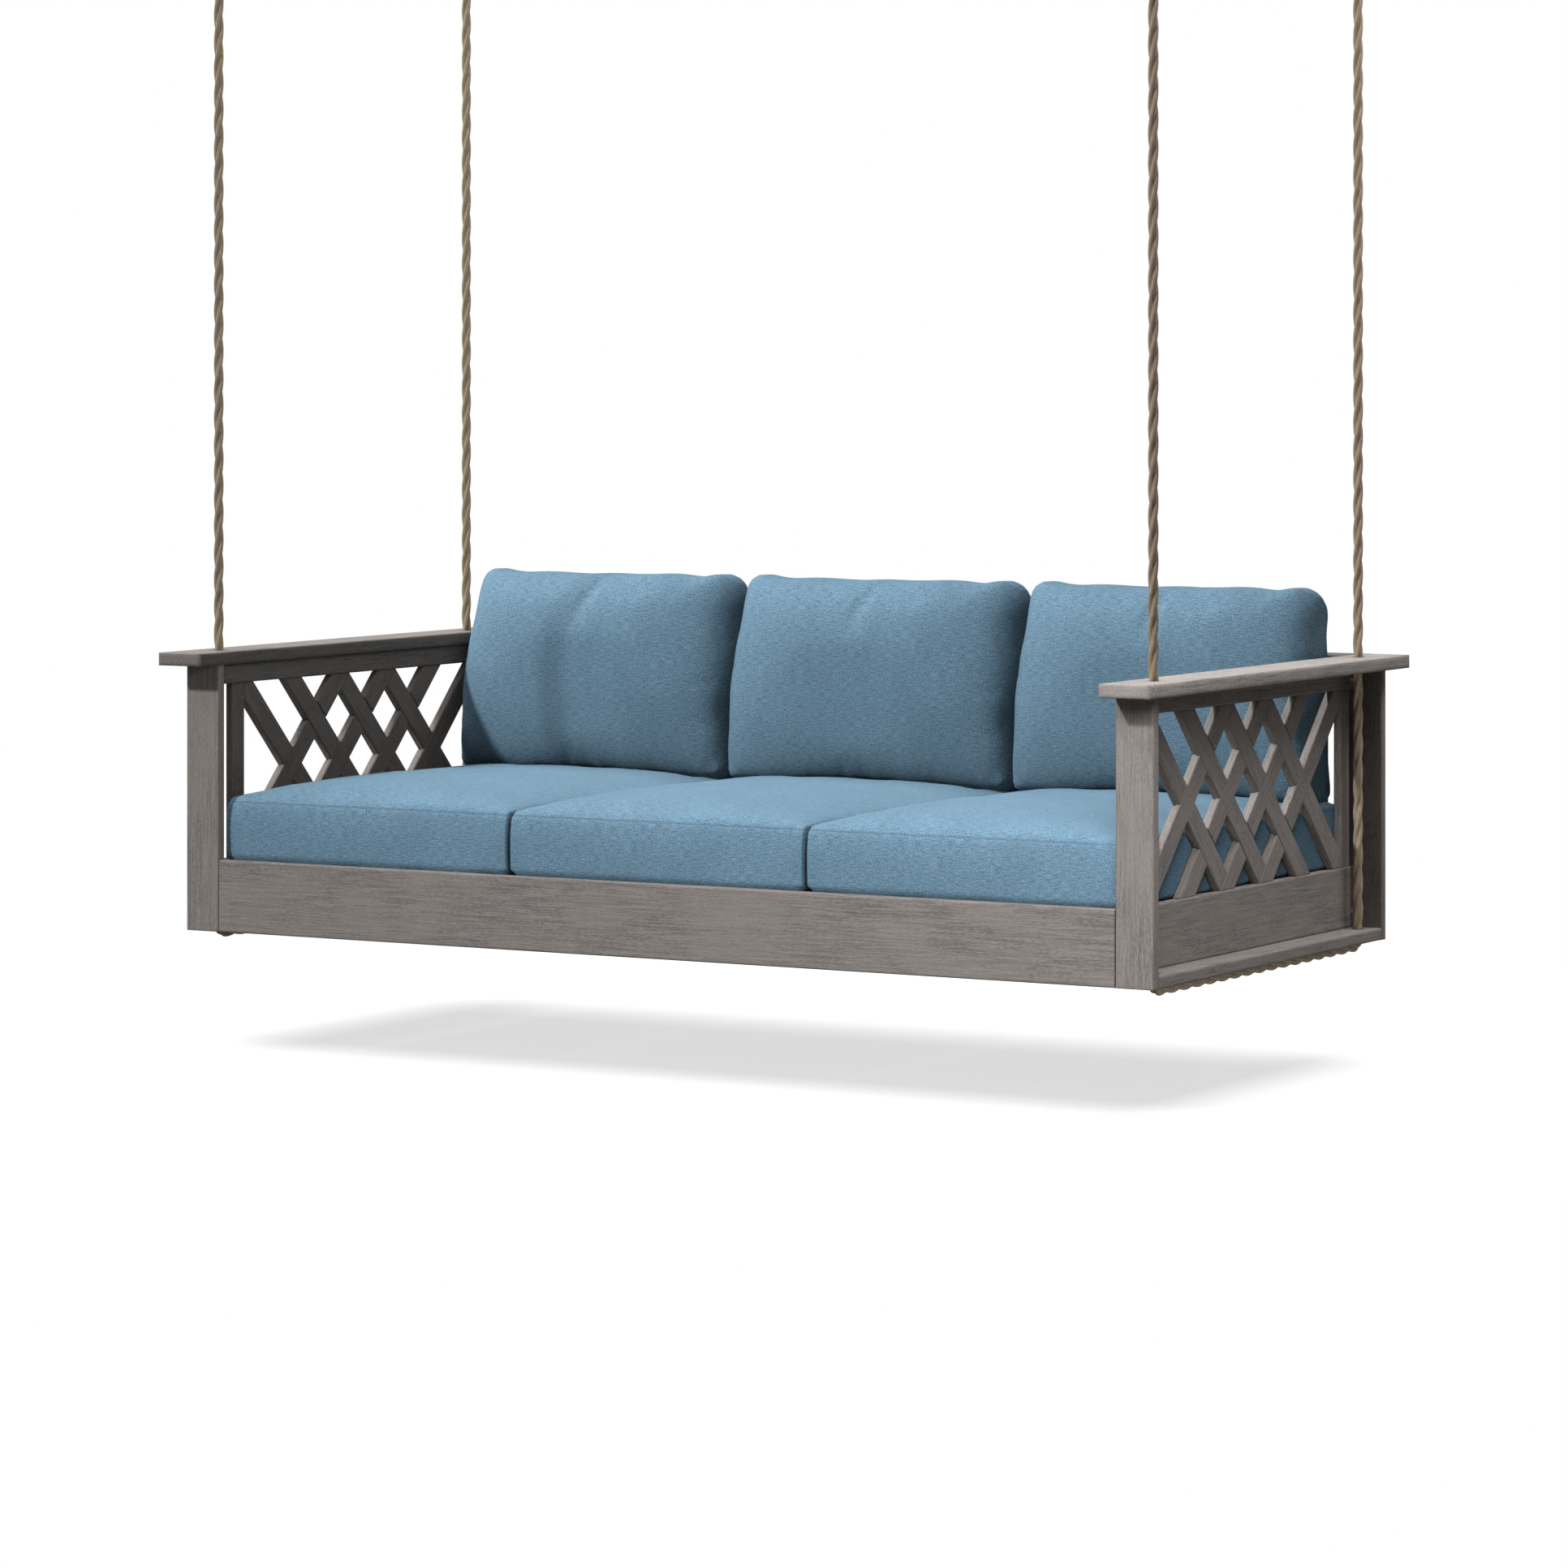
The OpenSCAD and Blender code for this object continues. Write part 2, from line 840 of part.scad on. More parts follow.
back_cushion(1);  // right_back_cushion
under_rope(-1);  // left_under_rope
under_rope(1);  // right_under_rope
upper_rope(-1, front_rope_y);  // front_left_rope
upper_rope(1, front_rope_y);  // front_right_rope
upper_rope(-1, back_rope_y);  // back_left_rope
upper_rope(1, back_rope_y);  // back_right_rope
rope_eyes(front_rope_y);  // front_rope_eyes
rope_eyes(back_rope_y);  // back_rope_eyes
thimbles(front_rope_y);  // front_thimbles
thimbles(back_rope_y);  // back_thimbles
whippings(front_rope_y);  // front_whippings
whippings(back_rope_y);  // back_whippings
bracket(-1, front_rope_y);  // front_left_bracket
bracket(1, front_rope_y);  // front_right_bracket
bracket(-1, back_rope_y);  // back_left_bracket
bracket(1, back_rope_y);  // back_right_bracket
bracket_bolts();
bracket_nuts();
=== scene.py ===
"""Hanging daybed: laid ropes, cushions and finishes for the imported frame, with its light and camera."""

import json
import math

import bmesh
import bpy
import numpy as np
from bpy.props import FloatProperty, FloatVectorProperty, IntProperty, PointerProperty
from bpy.types import Operator, Panel, PropertyGroup
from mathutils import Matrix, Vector, noise

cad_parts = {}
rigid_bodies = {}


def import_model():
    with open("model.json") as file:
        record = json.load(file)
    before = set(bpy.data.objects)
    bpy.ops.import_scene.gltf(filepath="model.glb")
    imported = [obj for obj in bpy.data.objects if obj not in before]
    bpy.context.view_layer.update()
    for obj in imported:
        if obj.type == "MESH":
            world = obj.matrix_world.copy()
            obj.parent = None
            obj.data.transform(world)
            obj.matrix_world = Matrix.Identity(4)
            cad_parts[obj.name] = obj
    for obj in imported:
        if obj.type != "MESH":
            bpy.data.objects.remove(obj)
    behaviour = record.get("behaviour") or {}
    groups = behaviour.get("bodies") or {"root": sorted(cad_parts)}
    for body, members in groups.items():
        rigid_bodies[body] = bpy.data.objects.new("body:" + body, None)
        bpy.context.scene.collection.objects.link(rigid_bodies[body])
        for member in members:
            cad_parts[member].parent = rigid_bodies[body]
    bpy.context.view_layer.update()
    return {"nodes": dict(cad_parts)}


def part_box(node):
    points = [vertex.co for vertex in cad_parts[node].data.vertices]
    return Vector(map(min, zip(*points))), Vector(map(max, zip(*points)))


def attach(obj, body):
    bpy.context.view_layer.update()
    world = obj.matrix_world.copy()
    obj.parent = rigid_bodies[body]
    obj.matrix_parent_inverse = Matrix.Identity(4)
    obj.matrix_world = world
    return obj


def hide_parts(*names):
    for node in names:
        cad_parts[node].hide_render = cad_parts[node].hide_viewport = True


bl_info = {
    "name": "Hanging Daybed",
    "version": (1, 0, 0),
    "blender": (4, 5, 0),
    "location": "View3D > Sidebar > Daybed",
    "description": "Makes the ropes, cushions, finishes and stage of a hanging daybed",
    "category": "Object",
}

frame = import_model()

# Places that the ropes share with the frame, in metres
ROPE_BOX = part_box("left_under_rope")
BED_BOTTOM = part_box("front_rail")[0].z
FRONT_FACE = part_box("front_rail")[0].y
ROPE_X = (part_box("right_under_rope")[0].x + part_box("right_under_rope")[1].x) / 2
ROPE_D = ROPE_BOX[1].x - ROPE_BOX[0].x
FRONT_ROPE_Y = ROPE_BOX[0].y + ROPE_D / 2
BACK_ROPE_Y = ROPE_BOX[1].y - ROPE_D / 2
SIDES = {"left": -ROPE_X, "right": ROPE_X}
ENDS = {"front": FRONT_ROPE_Y, "back": BACK_ROPE_Y}
ROPES = [(end, side, x, y) for end, y in ENDS.items() for side, x in SIDES.items()]


# ---- Settings ----


def length_of(name, description, default):
    return FloatProperty(name=name, description=description, default=default, unit="LENGTH")


def tone_of(name, description, default):
    return FloatVectorProperty(name=name, description=description, default=default, subtype="COLOR")


def power_of(name, default):
    return FloatProperty(name=name, description="Watts of the panel", default=default, unit="POWER")


class StageSettings(PropertyGroup):
    lens: FloatProperty(
        name="Focal Length", description="Of the camera, in millimetres", default=131.01, min=20
    )
    shift: FloatProperty(
        name="Vertical Shift", description="Of the level camera, in frame widths", default=-0.28243
    )
    camera_place: FloatVectorProperty(
        name="Camera Place", description="Where the camera stands", unit="LENGTH",
        default=(5.51124, -9.58782, -0.89046),
    )
    camera_turn: FloatProperty(
        name="Camera Turn", description="Angle of the view from the bed's depth",
        default=math.radians(29.872), subtype="ANGLE",
    )
    floor_drop: length_of("Floor Drop", "Floor below the underside", 0.225)
    sun_strength: FloatProperty(name="Sun", description="Strength of the low sun", default=1.85)
    sky_power: power_of("Sky Panel", 92.0)
    left_power: power_of("Left Panel", 125.0)
    front_power: power_of("Front Panel", 17.0)
    floor_power: power_of("Floor Panel", 680.0)
    low_power: power_of("Low Panel", 16.0)
    right_power: power_of("Right Panel", 74.0)
    room_light: FloatProperty(name="Room Light", description="Light from all around", default=0.02)


class RopeSettings(PropertyGroup):
    strand_lift: length_of("Strand Offset", "From a strand's middle to the rope's", 0.0046)
    strand_radius: length_of("Strand Radius", "Radius of a strand", 0.0049)
    lay_length: length_of("Lay Length", "Rope in which a strand goes round once", 0.158)
    strands: IntProperty(name="Strands", description="Strands in the rope", default=3, min=2)
    yarn_width: length_of("Yarn Width", "Width of one yarn", 0.0013)
    pale: tone_of("Crown", "Yarn on a strand's crown", (0.55, 0.44, 0.31))
    # The groove colour is painted shade for the grooves between strands; it also darkens the yarn's
    # middle tone
    dark: tone_of("Groove", "Yarn in the grooves", (0.12, 0.085, 0.05))


class CushionSettings(PropertyGroup):
    voxel: length_of("Mesh Size", "Mesh size while the cover is blown up", 0.010)
    pressure: FloatProperty(name="Pressure", description="Of the filling", default=4.0)
    swell: length_of("Swell", "How far the cover may move", 0.022)
    spare: FloatProperty(
        name="Spare Cover", description="Share of spare cloth in a panel", default=0.03
    )
    pucker: FloatProperty(
        name="Seam Pucker", description="Share that a seam is drawn in", default=0.04
    )
    light: tone_of("Light Yarn", "Pale yarn of the cover", (0.325, 0.54, 0.715))
    # The dark yarn is also the colour of the painted shade along the seams
    dark: tone_of("Dark Yarn", "Dark yarn of the cover", (0.085, 0.165, 0.245))
    bounce: FloatProperty(
        name="Bounce", description="Share of light that the cover hands on", default=0.10
    )


class LumberSettings(PropertyGroup):
    pale: tone_of("Pale Grain", "Raised grain", (0.365, 0.333, 0.313))
    deep: tone_of("Deep Grain", "Brushed-out grain", (0.205, 0.187, 0.176))
    warm: tone_of("Warm Patch", "Warmer stretches", (0.365, 0.322, 0.296))
    fibre_width: length_of("Fibre Width", "Width of a brushed fibre", 0.002)
    fibre_length: length_of("Fibre Length", "Length of a brushed fibre", 0.08)
    edge: length_of("Eased Edge", "Radius of a board's sanded edge", 0.005)


class HardwareSettings(PropertyGroup):
    zinc: tone_of("Zinc", "Galvanised steel", (0.55, 0.56, 0.57))
    spangle: length_of("Spangle", "Size of a zinc crystal", 0.006)
    twine: tone_of("Twine", "Waxed twine", (0.42, 0.33, 0.22))
    twine_d: length_of("Twine Diameter", "Of the whipping", 0.0025)


# ---- Node trees ----


# Distance between nodes in the editor, and how many stand in a row
NODE_STEP = (180, -260)
NODES_IN_ROW = 12


class Net:
    """One node tree; every call adds a node, joins it up and returns its output."""

    def __init__(self, tree):
        self.tree = tree
        self.count = 0

    def join(self, value, socket):
        if isinstance(value, bpy.types.NodeSocket):
            self.tree.links.new(value, socket)
        else:
            socket.default_value = value

    def fill(self, node, values):
        """Give the node's sockets their values or links."""
        for name, value in values.items():
            self.join(value, node.inputs[name])

    def node(self, kind, inputs=None, **settings):
        made = self.tree.nodes.new("ShaderNode" + kind)
        row, column = divmod(self.count, NODES_IN_ROW)
        made.location = (NODE_STEP[0] * column, NODE_STEP[1] * row)
        self.count += 1
        for name, value in settings.items():
            setattr(made, name, value)
        self.fill(made, inputs or {})
        return made

    def add(self, kind, inputs=None, out=0, **settings):
        return self.node(kind, inputs, **settings).outputs[out]

    def math(self, operation, first, second=0.0):
        return self.add("Math", {0: first, 1: second}, operation=operation)

    def scaled(self, value, factor):
        """value times a number, with no node where the number is 1."""
        return value if factor == 1 else self.math("MULTIPLY", value, factor)

    def vector(self, operation, first, second):
        return self.add("VectorMath", {0: first, 1: second}, operation=operation)

    def span(self, value, low, high, new_low=0.0, new_high=1.0):
        inputs = {"Value": value, 1: low, 2: high, 3: new_low, 4: new_high}
        return self.add("MapRange", inputs, interpolation_type="SMOOTHSTEP")

    def mix(self, share, first, second, blend="MIX"):
        inputs = {0: share, 6: first, 7: second}
        return self.add("Mix", inputs, out=2, data_type="RGBA", blend_type=blend)

    def tint(self, base, tone, mask, share, blend="MIX"):
        """base, turned into tone by a share of the mask."""
        return self.mix(self.scaled(mask, share), base, tone, blend)

    def noise(self, vector, scale=1.0, detail=2.0, roughness=0.5):
        inputs = {"Vector": vector, "Scale": scale, "Detail": detail, "Roughness": roughness}
        return self.add("TexNoise", inputs)

    def stretched(self, vector, *lengths):
        """vector measured in the given lengths, one for each axis."""
        cells = self.add("CombineXYZ", dict(enumerate(lengths)))
        return self.vector("DIVIDE", vector, cells)

    def streaks(self, vector, length, width, detail=2.0):
        """Noise in marks of the given length along the first axis and width along the others."""
        return self.noise(self.stretched(vector, length, width, width), detail=detail)


def new_group(name, **numbers):
    """The net of a new node group and its inputs, a vector and the given numbers."""
    group = bpy.data.node_groups.new(name, "ShaderNodeTree")
    group.interface.new_socket("Vector", in_out="INPUT", socket_type="NodeSocketVector")
    for label, value in numbers.items():
        socket = group.interface.new_socket(label, in_out="INPUT", socket_type="NodeSocketFloat")
        socket.default_value = value
    return Net(group), group.nodes.new("NodeGroupInput").outputs


def end_group(net, results):
    """Hand out the results, each under its label."""
    for label in results:
        net.tree.interface.new_socket(label, in_out="OUTPUT", socket_type="NodeSocketFloat")
    net.fill(net.tree.nodes.new("NodeGroupOutput"), results)


# Waves that bend the grain, along and across a board, and how far they push it, in metres
WANDER_WAVES = (0.09, 0.03, 0.03)
WANDER_PUSH = 0.003
# Marks in the grain: length and width as multiples of a brushed fibre's, and noise detail
GRAIN_MARKS = {
    "fibre": (1.0, 1.0, 2.0),
    "fine": (0.1, 0.6, 2.0),
    "streak": (1.0, 2.6, 1.0),
    "patch": (1.8, 38.0, 2.0),
}


def make_grain_group():
    """Brushed board: fibres along X, darker streaks and slow patches."""
    net, given = new_group("brushed_grain", Width=0.002, Length=0.08)
    wander = net.noise(net.stretched(given["Vector"], *WANDER_WAVES), detail=1.0)
    push = net.scaled(net.math("SUBTRACT", wander, 0.5), WANDER_PUSH)
    place = net.vector("ADD", given["Vector"], net.add("CombineXYZ", {1: push, 2: push}))
    marks = {}
    for mark, (longer, wider, detail) in GRAIN_MARKS.items():
        length = net.scaled(given["Length"], longer)
        width = net.scaled(given["Width"], wider)
        marks[mark] = net.streaks(place, length, width, detail)
    both = net.math("ADD", net.scaled(marks["fibre"], 0.5), net.scaled(marks["fine"], 0.5))
    end_group(net, {
        "Fibre": net.span(both, 0.39, 0.61),
        "Streak": net.span(marks["streak"], 0.66, 0.8),
        "Patch": net.span(marks["patch"], 0.35, 0.65),
        "Height": both,
    })


# Length of a mottled stretch of yarn and of a slub, in threads
MOTTLE_LENGTH = 1.5
SLUB_LENGTH = 11.0


def make_weave_group():
    """Heathered cloth: plain weave, mottled yarn and long slubs along U."""
    net, given = new_group("heather_weave", Thread=0.0015)
    place, thread = given["Vector"], given["Thread"]
    threads = net.stretched(place, thread, thread, thread)
    turns = net.node("SeparateXYZ", {0: net.vector("MULTIPLY", threads, (math.pi,) * 3)}).outputs
    weave = net.math("MULTIPLY", net.math("SINE", turns[0]), net.math("SINE", turns[1]))
    heather = net.streaks(place, net.scaled(thread, MOTTLE_LENGTH), thread)
    slub = net.streaks(place, net.scaled(thread, SLUB_LENGTH), thread, detail=1.5)
    lift = net.math("ADD", net.scaled(weave, 0.35), net.scaled(slub, 0.9))
    end_group(net, {
        "Heather": net.span(heather, 0.42, 0.58),
        "Slub": net.span(slub, 0.42, 0.58),
        "Shade": net.span(net.noise(place, scale=7.0), 0.3, 0.7),
        "Height": net.math("ADD", lift, heather),
    })


# Length of a yarn's marks and of the fuzz on it, in widths of a yarn
YARN_LENGTH = 16.0
FUZZ_LENGTH = 0.5


def make_yarn_group():
    """Yarns of a laid rope: V runs along the rope, U round it."""
    net, given = new_group("rope_yarn", Yarn=0.0013)
    place, width = given["Vector"], given["Yarn"]
    cells = net.stretched(place, width, net.scaled(width, YARN_LENGTH), width)
    yarn = net.noise(cells, roughness=0.6)
    fuzz = net.streaks(place, net.scaled(width, FUZZ_LENGTH), width, detail=1.0)
    end_group(net, {
        "Yarn": net.span(yarn, 0.32, 0.68),
        "Wear": net.span(net.noise(place, scale=22.0), 0.35, 0.65),
        "Height": net.math("ADD", yarn, net.scaled(fuzz, 0.4)),
    })


def make_spangle_group():
    """Zinc crystals, and a dulled film over them."""
    net, given = new_group("zinc_spangle", Size=0.006)
    place, size = given["Vector"], given["Size"]
    cells = net.stretched(place, size, size, size)
    crystal = net.add("TexVoronoi", {"Vector": cells, "Scale": 1.0}, out="Color")
    end_group(net, {
        "Crystal": net.add("SeparateColor", {0: crystal}),
        "Film": net.span(net.noise(place, scale=40.0, detail=4.0), 0.35, 0.7),
        "Height": net.noise(place, scale=900.0, detail=1.0),
    })


def group_node(net, name, inputs):
    made = net.node("Group")
    made.node_tree = bpy.data.node_groups[name]
    net.fill(made, inputs)
    return made.outputs


def new_material(name):
    """A material, its net and its plain shader."""
    material = bpy.data.materials.new(name)
    material.use_nodes = True
    return material, Net(material.node_tree), material.node_tree.nodes["Principled BSDF"]


def colour(value, shade=1.0):
    """A socket's colour, its channels times shade."""
    return (*(channel * shade for channel in value), 1.0)


def raise_surface(net, shader, height, depth, strength, edge=0.0):
    """Bump of the given depth from a height of 0 to 1, on edges eased by a radius."""
    inputs = {"Height": height, "Distance": depth, "Strength": strength}
    if edge:
        inputs["Normal"] = net.add("Bevel", {"Radius": edge}, samples=4)
    net.join(net.add("Bump", inputs), shader.inputs["Normal"])


def make_lumber(name, along, shade=1.0, rounding=1.0):
    """Weathered brushed board with its grain along the given direction, its edges eased."""
    settings = bpy.context.scene.daybed_lumber
    material, net, shader = new_material(name)
    turn = Vector(along).normalized().rotation_difference(Vector((1, 0, 0))).to_euler()
    place = net.add("Mapping", {"Vector": net.add("TexCoord", out="Object"), "Rotation": turn})
    inputs = {"Vector": place, "Width": settings.fibre_width, "Length": settings.fibre_length}
    grain = group_node(net, "brushed_grain", inputs)
    tones = (settings.pale, settings.deep, settings.warm)
    pale, deep, warm = (colour(tone, shade) for tone in tones)
    base = net.mix(grain["Fibre"], deep, pale)
    base = net.tint(base, warm, grain["Patch"], share=0.5)
    base = net.tint(base, deep, grain["Streak"], share=0.25, blend="MULTIPLY")
    net.fill(shader, {
        "Base Color": base,
        "Roughness": net.span(grain["Fibre"], 0.0, 1.0, new_low=0.78, new_high=0.66),
        "Specular IOR Level": 0.15,
    })
    edge = settings.edge * rounding
    raise_surface(net, shader, grain["Height"], depth=0.0009, strength=0.45, edge=edge)
    return material


def plain_in_bounces(net, base, level):
    """base, but a neutral grey of the given level where the light comes off a nearby piece."""
    bounced = net.node("LightPath").outputs["Is Diffuse Ray"]
    return net.mix(bounced, base, (level, level, level, 1.0))


def make_cloth(name):
    """Blue heathered canvas with sewn seams, and painted shade along each seam."""
    settings = bpy.context.scene.daybed_cushions
    material, net, shader = new_material(name)
    weave = group_node(net, "heather_weave", {"Vector": net.add("UVMap", uv_map="cloth")})
    light, dark = colour(settings.light), colour(settings.dark)
    heather, slub = net.scaled(weave["Heather"], 0.68), net.scaled(weave["Slub"], 0.32)
    base = net.mix(net.math("ADD", heather, slub), dark, light)
    base = net.mix(net.span(weave["Shade"], 0.0, 1.0, new_high=0.12), base, dark)
    from_seam = net.math("ABSOLUTE", net.add("Attribute", out="Fac", attribute_name="seam"))
    # Painted shade: within a few millimetres of each seam the cover is drawn towards its dark yarn,
    # standing in for the shade in the seam's groove
    seam_shade = net.span(from_seam, 0.0007, 0.0024, new_low=1.0, new_high=0.0)
    base = net.tint(base, dark, seam_shade, share=0.4)
    net.fill(shader, {
        "Base Color": plain_in_bounces(net, base, settings.bounce),
        "Roughness": 0.85,
        "Specular IOR Level": 0.1,
        "Sheen Weight": 0.25,
        "Sheen Tint": (0.5, 0.8, 1.0, 1.0),
        "Sheen Roughness": 0.5,
    })
    groove = net.span(from_seam, 0.0, 0.004, new_low=-1.6, new_high=0.0)
    height = net.math("ADD", weave["Height"], groove)
    raise_surface(net, shader, height, depth=0.0007, strength=0.7)
    return material


def make_rope(name):
    """Three-strand rope of tan fibre, with painted shade in its grooves."""
    settings = bpy.context.scene.daybed_rope
    material, net, shader = new_material(name)
    place = net.add("UVMap", uv_map="lay")
    yarn = group_node(net, "rope_yarn", {"Vector": place, "Yarn": settings.yarn_width})
    mid = colour([a + b for a, b in zip(settings.pale, settings.dark)], shade=0.45)
    base = net.mix(yarn["Yarn"], mid, colour(settings.pale))
    base = net.tint(base, mid, yarn["Wear"], share=0.3)
    # Painted shade: deep in the grooves between strands the yarn is drawn towards the groove colour
    groove = net.add("Attribute", out="Fac", attribute_name="groove")
    groove = net.span(groove, 0.35, 1.0, new_high=0.9)
    base = net.mix(groove, base, colour(settings.dark))
    net.fill(shader, {"Base Color": base, "Roughness": 0.8, "Specular IOR Level": 0.3})
    raise_surface(net, shader, yarn["Height"], depth=0.0008, strength=0.8)
    return material


def make_zinc(name):
    """Galvanised steel, dulled outdoors."""
    settings = bpy.context.scene.daybed_hardware
    material, net, shader = new_material(name)
    place = net.add("TexCoord", out="Object")
    zinc = group_node(net, "zinc_spangle", {"Vector": place, "Size": settings.spangle})
    dull = colour(settings.zinc, shade=0.6)
    base = net.tint(dull, colour(settings.zinc), zinc["Crystal"], share=0.6)
    base = net.tint(base, dull, zinc["Film"], share=0.5)
    rough = net.math("ADD", net.scaled(zinc["Crystal"], 0.15), 0.34)
    rough = net.math("ADD", rough, net.scaled(zinc["Film"], 0.18))
    net.fill(shader, {"Base Color": base, "Roughness": rough, "Metallic": 1.0})
    raise_surface(net, shader, zinc["Height"], depth=0.0002, strength=0.4)
    return material


# Length of the marks on twine along the axes, in metres
TWINE_MARKS = (0.004, 0.004, 0.0006)


def make_twine(name):
    """Waxed twine."""
    settings = bpy.context.scene.daybed_hardware
    material, net, shader = new_material(name)
    fibre = net.noise(net.stretched(net.add("TexCoord", out="Object"), *TWINE_MARKS))
    base = net.mix(fibre, colour(settings.twine, shade=0.5), colour(settings.twine))
    net.fill(shader, {"Base Color": base, "Roughness": 0.55})
    raise_surface(net, shader, fibre, depth=0.0003, strength=0.6)
    return material


# ---- Ropes ----


def smooth_faces(mesh):
    mesh.polygons.foreach_set("use_smooth", [True] * len(mesh.polygons))


def new_piece(name, verts, faces, material):
    """A mesh object whose places are its mesh's, smooth-shaded."""
    mesh = bpy.data.meshes.new(name)
    mesh.from_pydata([tuple(v) for v in verts], [], [tuple(f) for f in faces])
    mesh.materials.append(material)
    smooth_faces(mesh)
    piece = bpy.data.objects.new(name, mesh)
    bpy.context.collection.objects.link(piece)
    return piece


def even_steps(points, step):
    """points, joined by straight runs, taken again about a step apart, and their distances."""
    points = np.array(points, dtype=float)
    legs = np.linalg.norm(np.diff(points, axis=0), axis=1)
    reach = np.concatenate([[0.0], np.cumsum(legs)])
    count = max(2, round(reach[-1] / step) + 1)
    along = np.linspace(0.0, reach[-1], count)
    return np.stack([np.interp(along, reach, points[:, k]) for k in range(3)], axis=1), along


def tube_faces(rings, sides):
    """Faces of a tube with closed ends, its points given ring by ring."""
    faces = []
    for i in range(rings - 1):
        for k in range(sides):
            n = (k + 1) % sides
            a, b = i * sides, (i + 1) * sides
            faces.append((a + k, a + n, b + n, b + k))
    faces.append(tuple(range(sides))[::-1])
    faces.append(tuple((rings - 1) * sides + k for k in range(sides)))
    return faces


# Distance between a rope's rings of points in metres, points round each of its strands, and
# the share of its section that the tip of a round end keeps
RING_STEP = 0.0044
STRAND_SIDES = 12
TIP_SECTION = 0.02


def laid_rope(name, points, material, round_start=False, squeeze=1.0):
    """Strands laid round a line in an upright plane; squeeze scales the rope's thickness."""
    settings = bpy.context.scene.daybed_rope
    lift, radius = settings.strand_lift * squeeze, settings.strand_radius * squeeze
    full = lift + radius
    sides = STRAND_SIDES * settings.strands
    centres, along = even_steps(points, RING_STEP)
    heading = np.gradient(centres, axis=0)
    heading /= np.linalg.norm(heading, axis=1)[:, None]
    side = np.array([1.0, 0.0, 0.0])
    up = np.cross(heading, side)
    angles = np.linspace(0.0, 2 * math.pi, sides, endpoint=False)
    lobe = 2 * math.pi / settings.strands
    verts, grooves, uvs = [], [], []
    for i, centre in enumerate(centres):
        twist = 2 * math.pi * along[i] / settings.lay_length
        local = (angles - twist + lobe / 2) % lobe - lobe / 2
        reach = lift * np.cos(local) + np.sqrt(radius**2 - (lift * np.sin(local)) ** 2)
        shrink = 1.0
        if round_start and along[i] < full:
            shrink = math.sqrt(max(TIP_SECTION, 1 - (1 - along[i] / full) ** 2))
        ring = np.outer(np.cos(angles) * reach, side) + np.outer(np.sin(angles) * reach, up[i])
        verts.extend(centre + shrink * ring)
        # How deep each point lies in a groove, 0 on a strand's crown; the rope's material paints shade
        # with it
        grooves.extend((full - reach) / (full - lift * math.cos(lobe / 2)))
        uvs.extend((a * full, along[i]) for a in angles)
    piece = new_piece(name, verts, tube_faces(len(centres), sides), material)
    mesh = piece.data
    mesh.attributes.new("groove", "FLOAT", "POINT").data.foreach_set("value", grooves)
    layer = mesh.uv_layers.new(name="lay").data
    half_way = math.pi * full
    for polygon in mesh.polygons:
        first = uvs[mesh.loops[polygon.loop_start].vertex_index][0]
        for loop in polygon.loop_indices:
            u, v = uvs[mesh.loops[loop].vertex_index]
            if first - u > half_way:
                u += 2 * half_way
            elif u - first > half_way:
                u -= 2 * half_way
            layer[loop].uv = (u, v)
    return piece


def arc(centre_y, centre_z, radius, first, last, count):
    """Points [y, z] on an arc, its angles in degrees from straight down towards +Y."""
    turns = [math.radians(first + (last - first) * i / (count - 1)) for i in range(count)]
    return [(centre_y + radius * math.sin(t), centre_z - radius * math.cos(t)) for t in turns]


# Heights of the route's points above the underside of the bed, and distances along it
UNDER_RISE = (0.5342, 0.4, 0.27, 0.14)
UNDER_RUN = (0.16, 0.3, 0.444, 0.588, 0.728)
UPPER_RISE = (0.544, 0.76, 0.98, 1.2, 1.42, 1.64, 1.9223)
# Bend round the ends of a base board, its points, and the line's drop below the underside
BEND_RADIUS = 0.018
BEND_POINTS = 9
UNDER_DROP = 0.0098


def under_route(x):
    """Down beside a side panel, under its base board and up again."""
    bottom = -UNDER_DROP
    bend = bottom + BEND_RADIUS
    down = [(FRONT_ROPE_Y, z) for z in UNDER_RISE]
    first = arc(FRONT_ROPE_Y + BEND_RADIUS, bend, BEND_RADIUS, -90, 0, BEND_POINTS)
    along = [(FRONT_ROPE_Y + y, bottom) for y in UNDER_RUN]
    second = arc(BACK_ROPE_Y - BEND_RADIUS, bend, BEND_RADIUS, 0, 90, BEND_POINTS)
    up = [(BACK_ROPE_Y, z) for z in reversed(UNDER_RISE)]
    return [(x, y, BED_BOTTOM + z) for y, z in down + first + along + second + up]


def upper_route(x, y):
    """From the round end in the arm's hole up to the throat of the eye."""
    end = [(x, y, BED_BOTTOM + UPPER_RISE[0] - ROPE_D / 2)]
    return end + [(x, y, BED_BOTTOM + z) for z in UPPER_RISE]


class DAYBED_OT_under_ropes(Operator):
    """Make the two runs of rope that carry the bed from below"""

    bl_idname = "daybed.under_ropes"
    bl_label = "Ropes under the Bed"

    def execute(self, context):
        material = bpy.data.materials["laid_rope"]
        for side, x in SIDES.items():
            route = under_route(x)
            piece = laid_rope(side + "_lower_rope", route, material)
            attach(piece, "bed")
            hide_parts(side + "_under_rope")
        return {"FINISHED"}


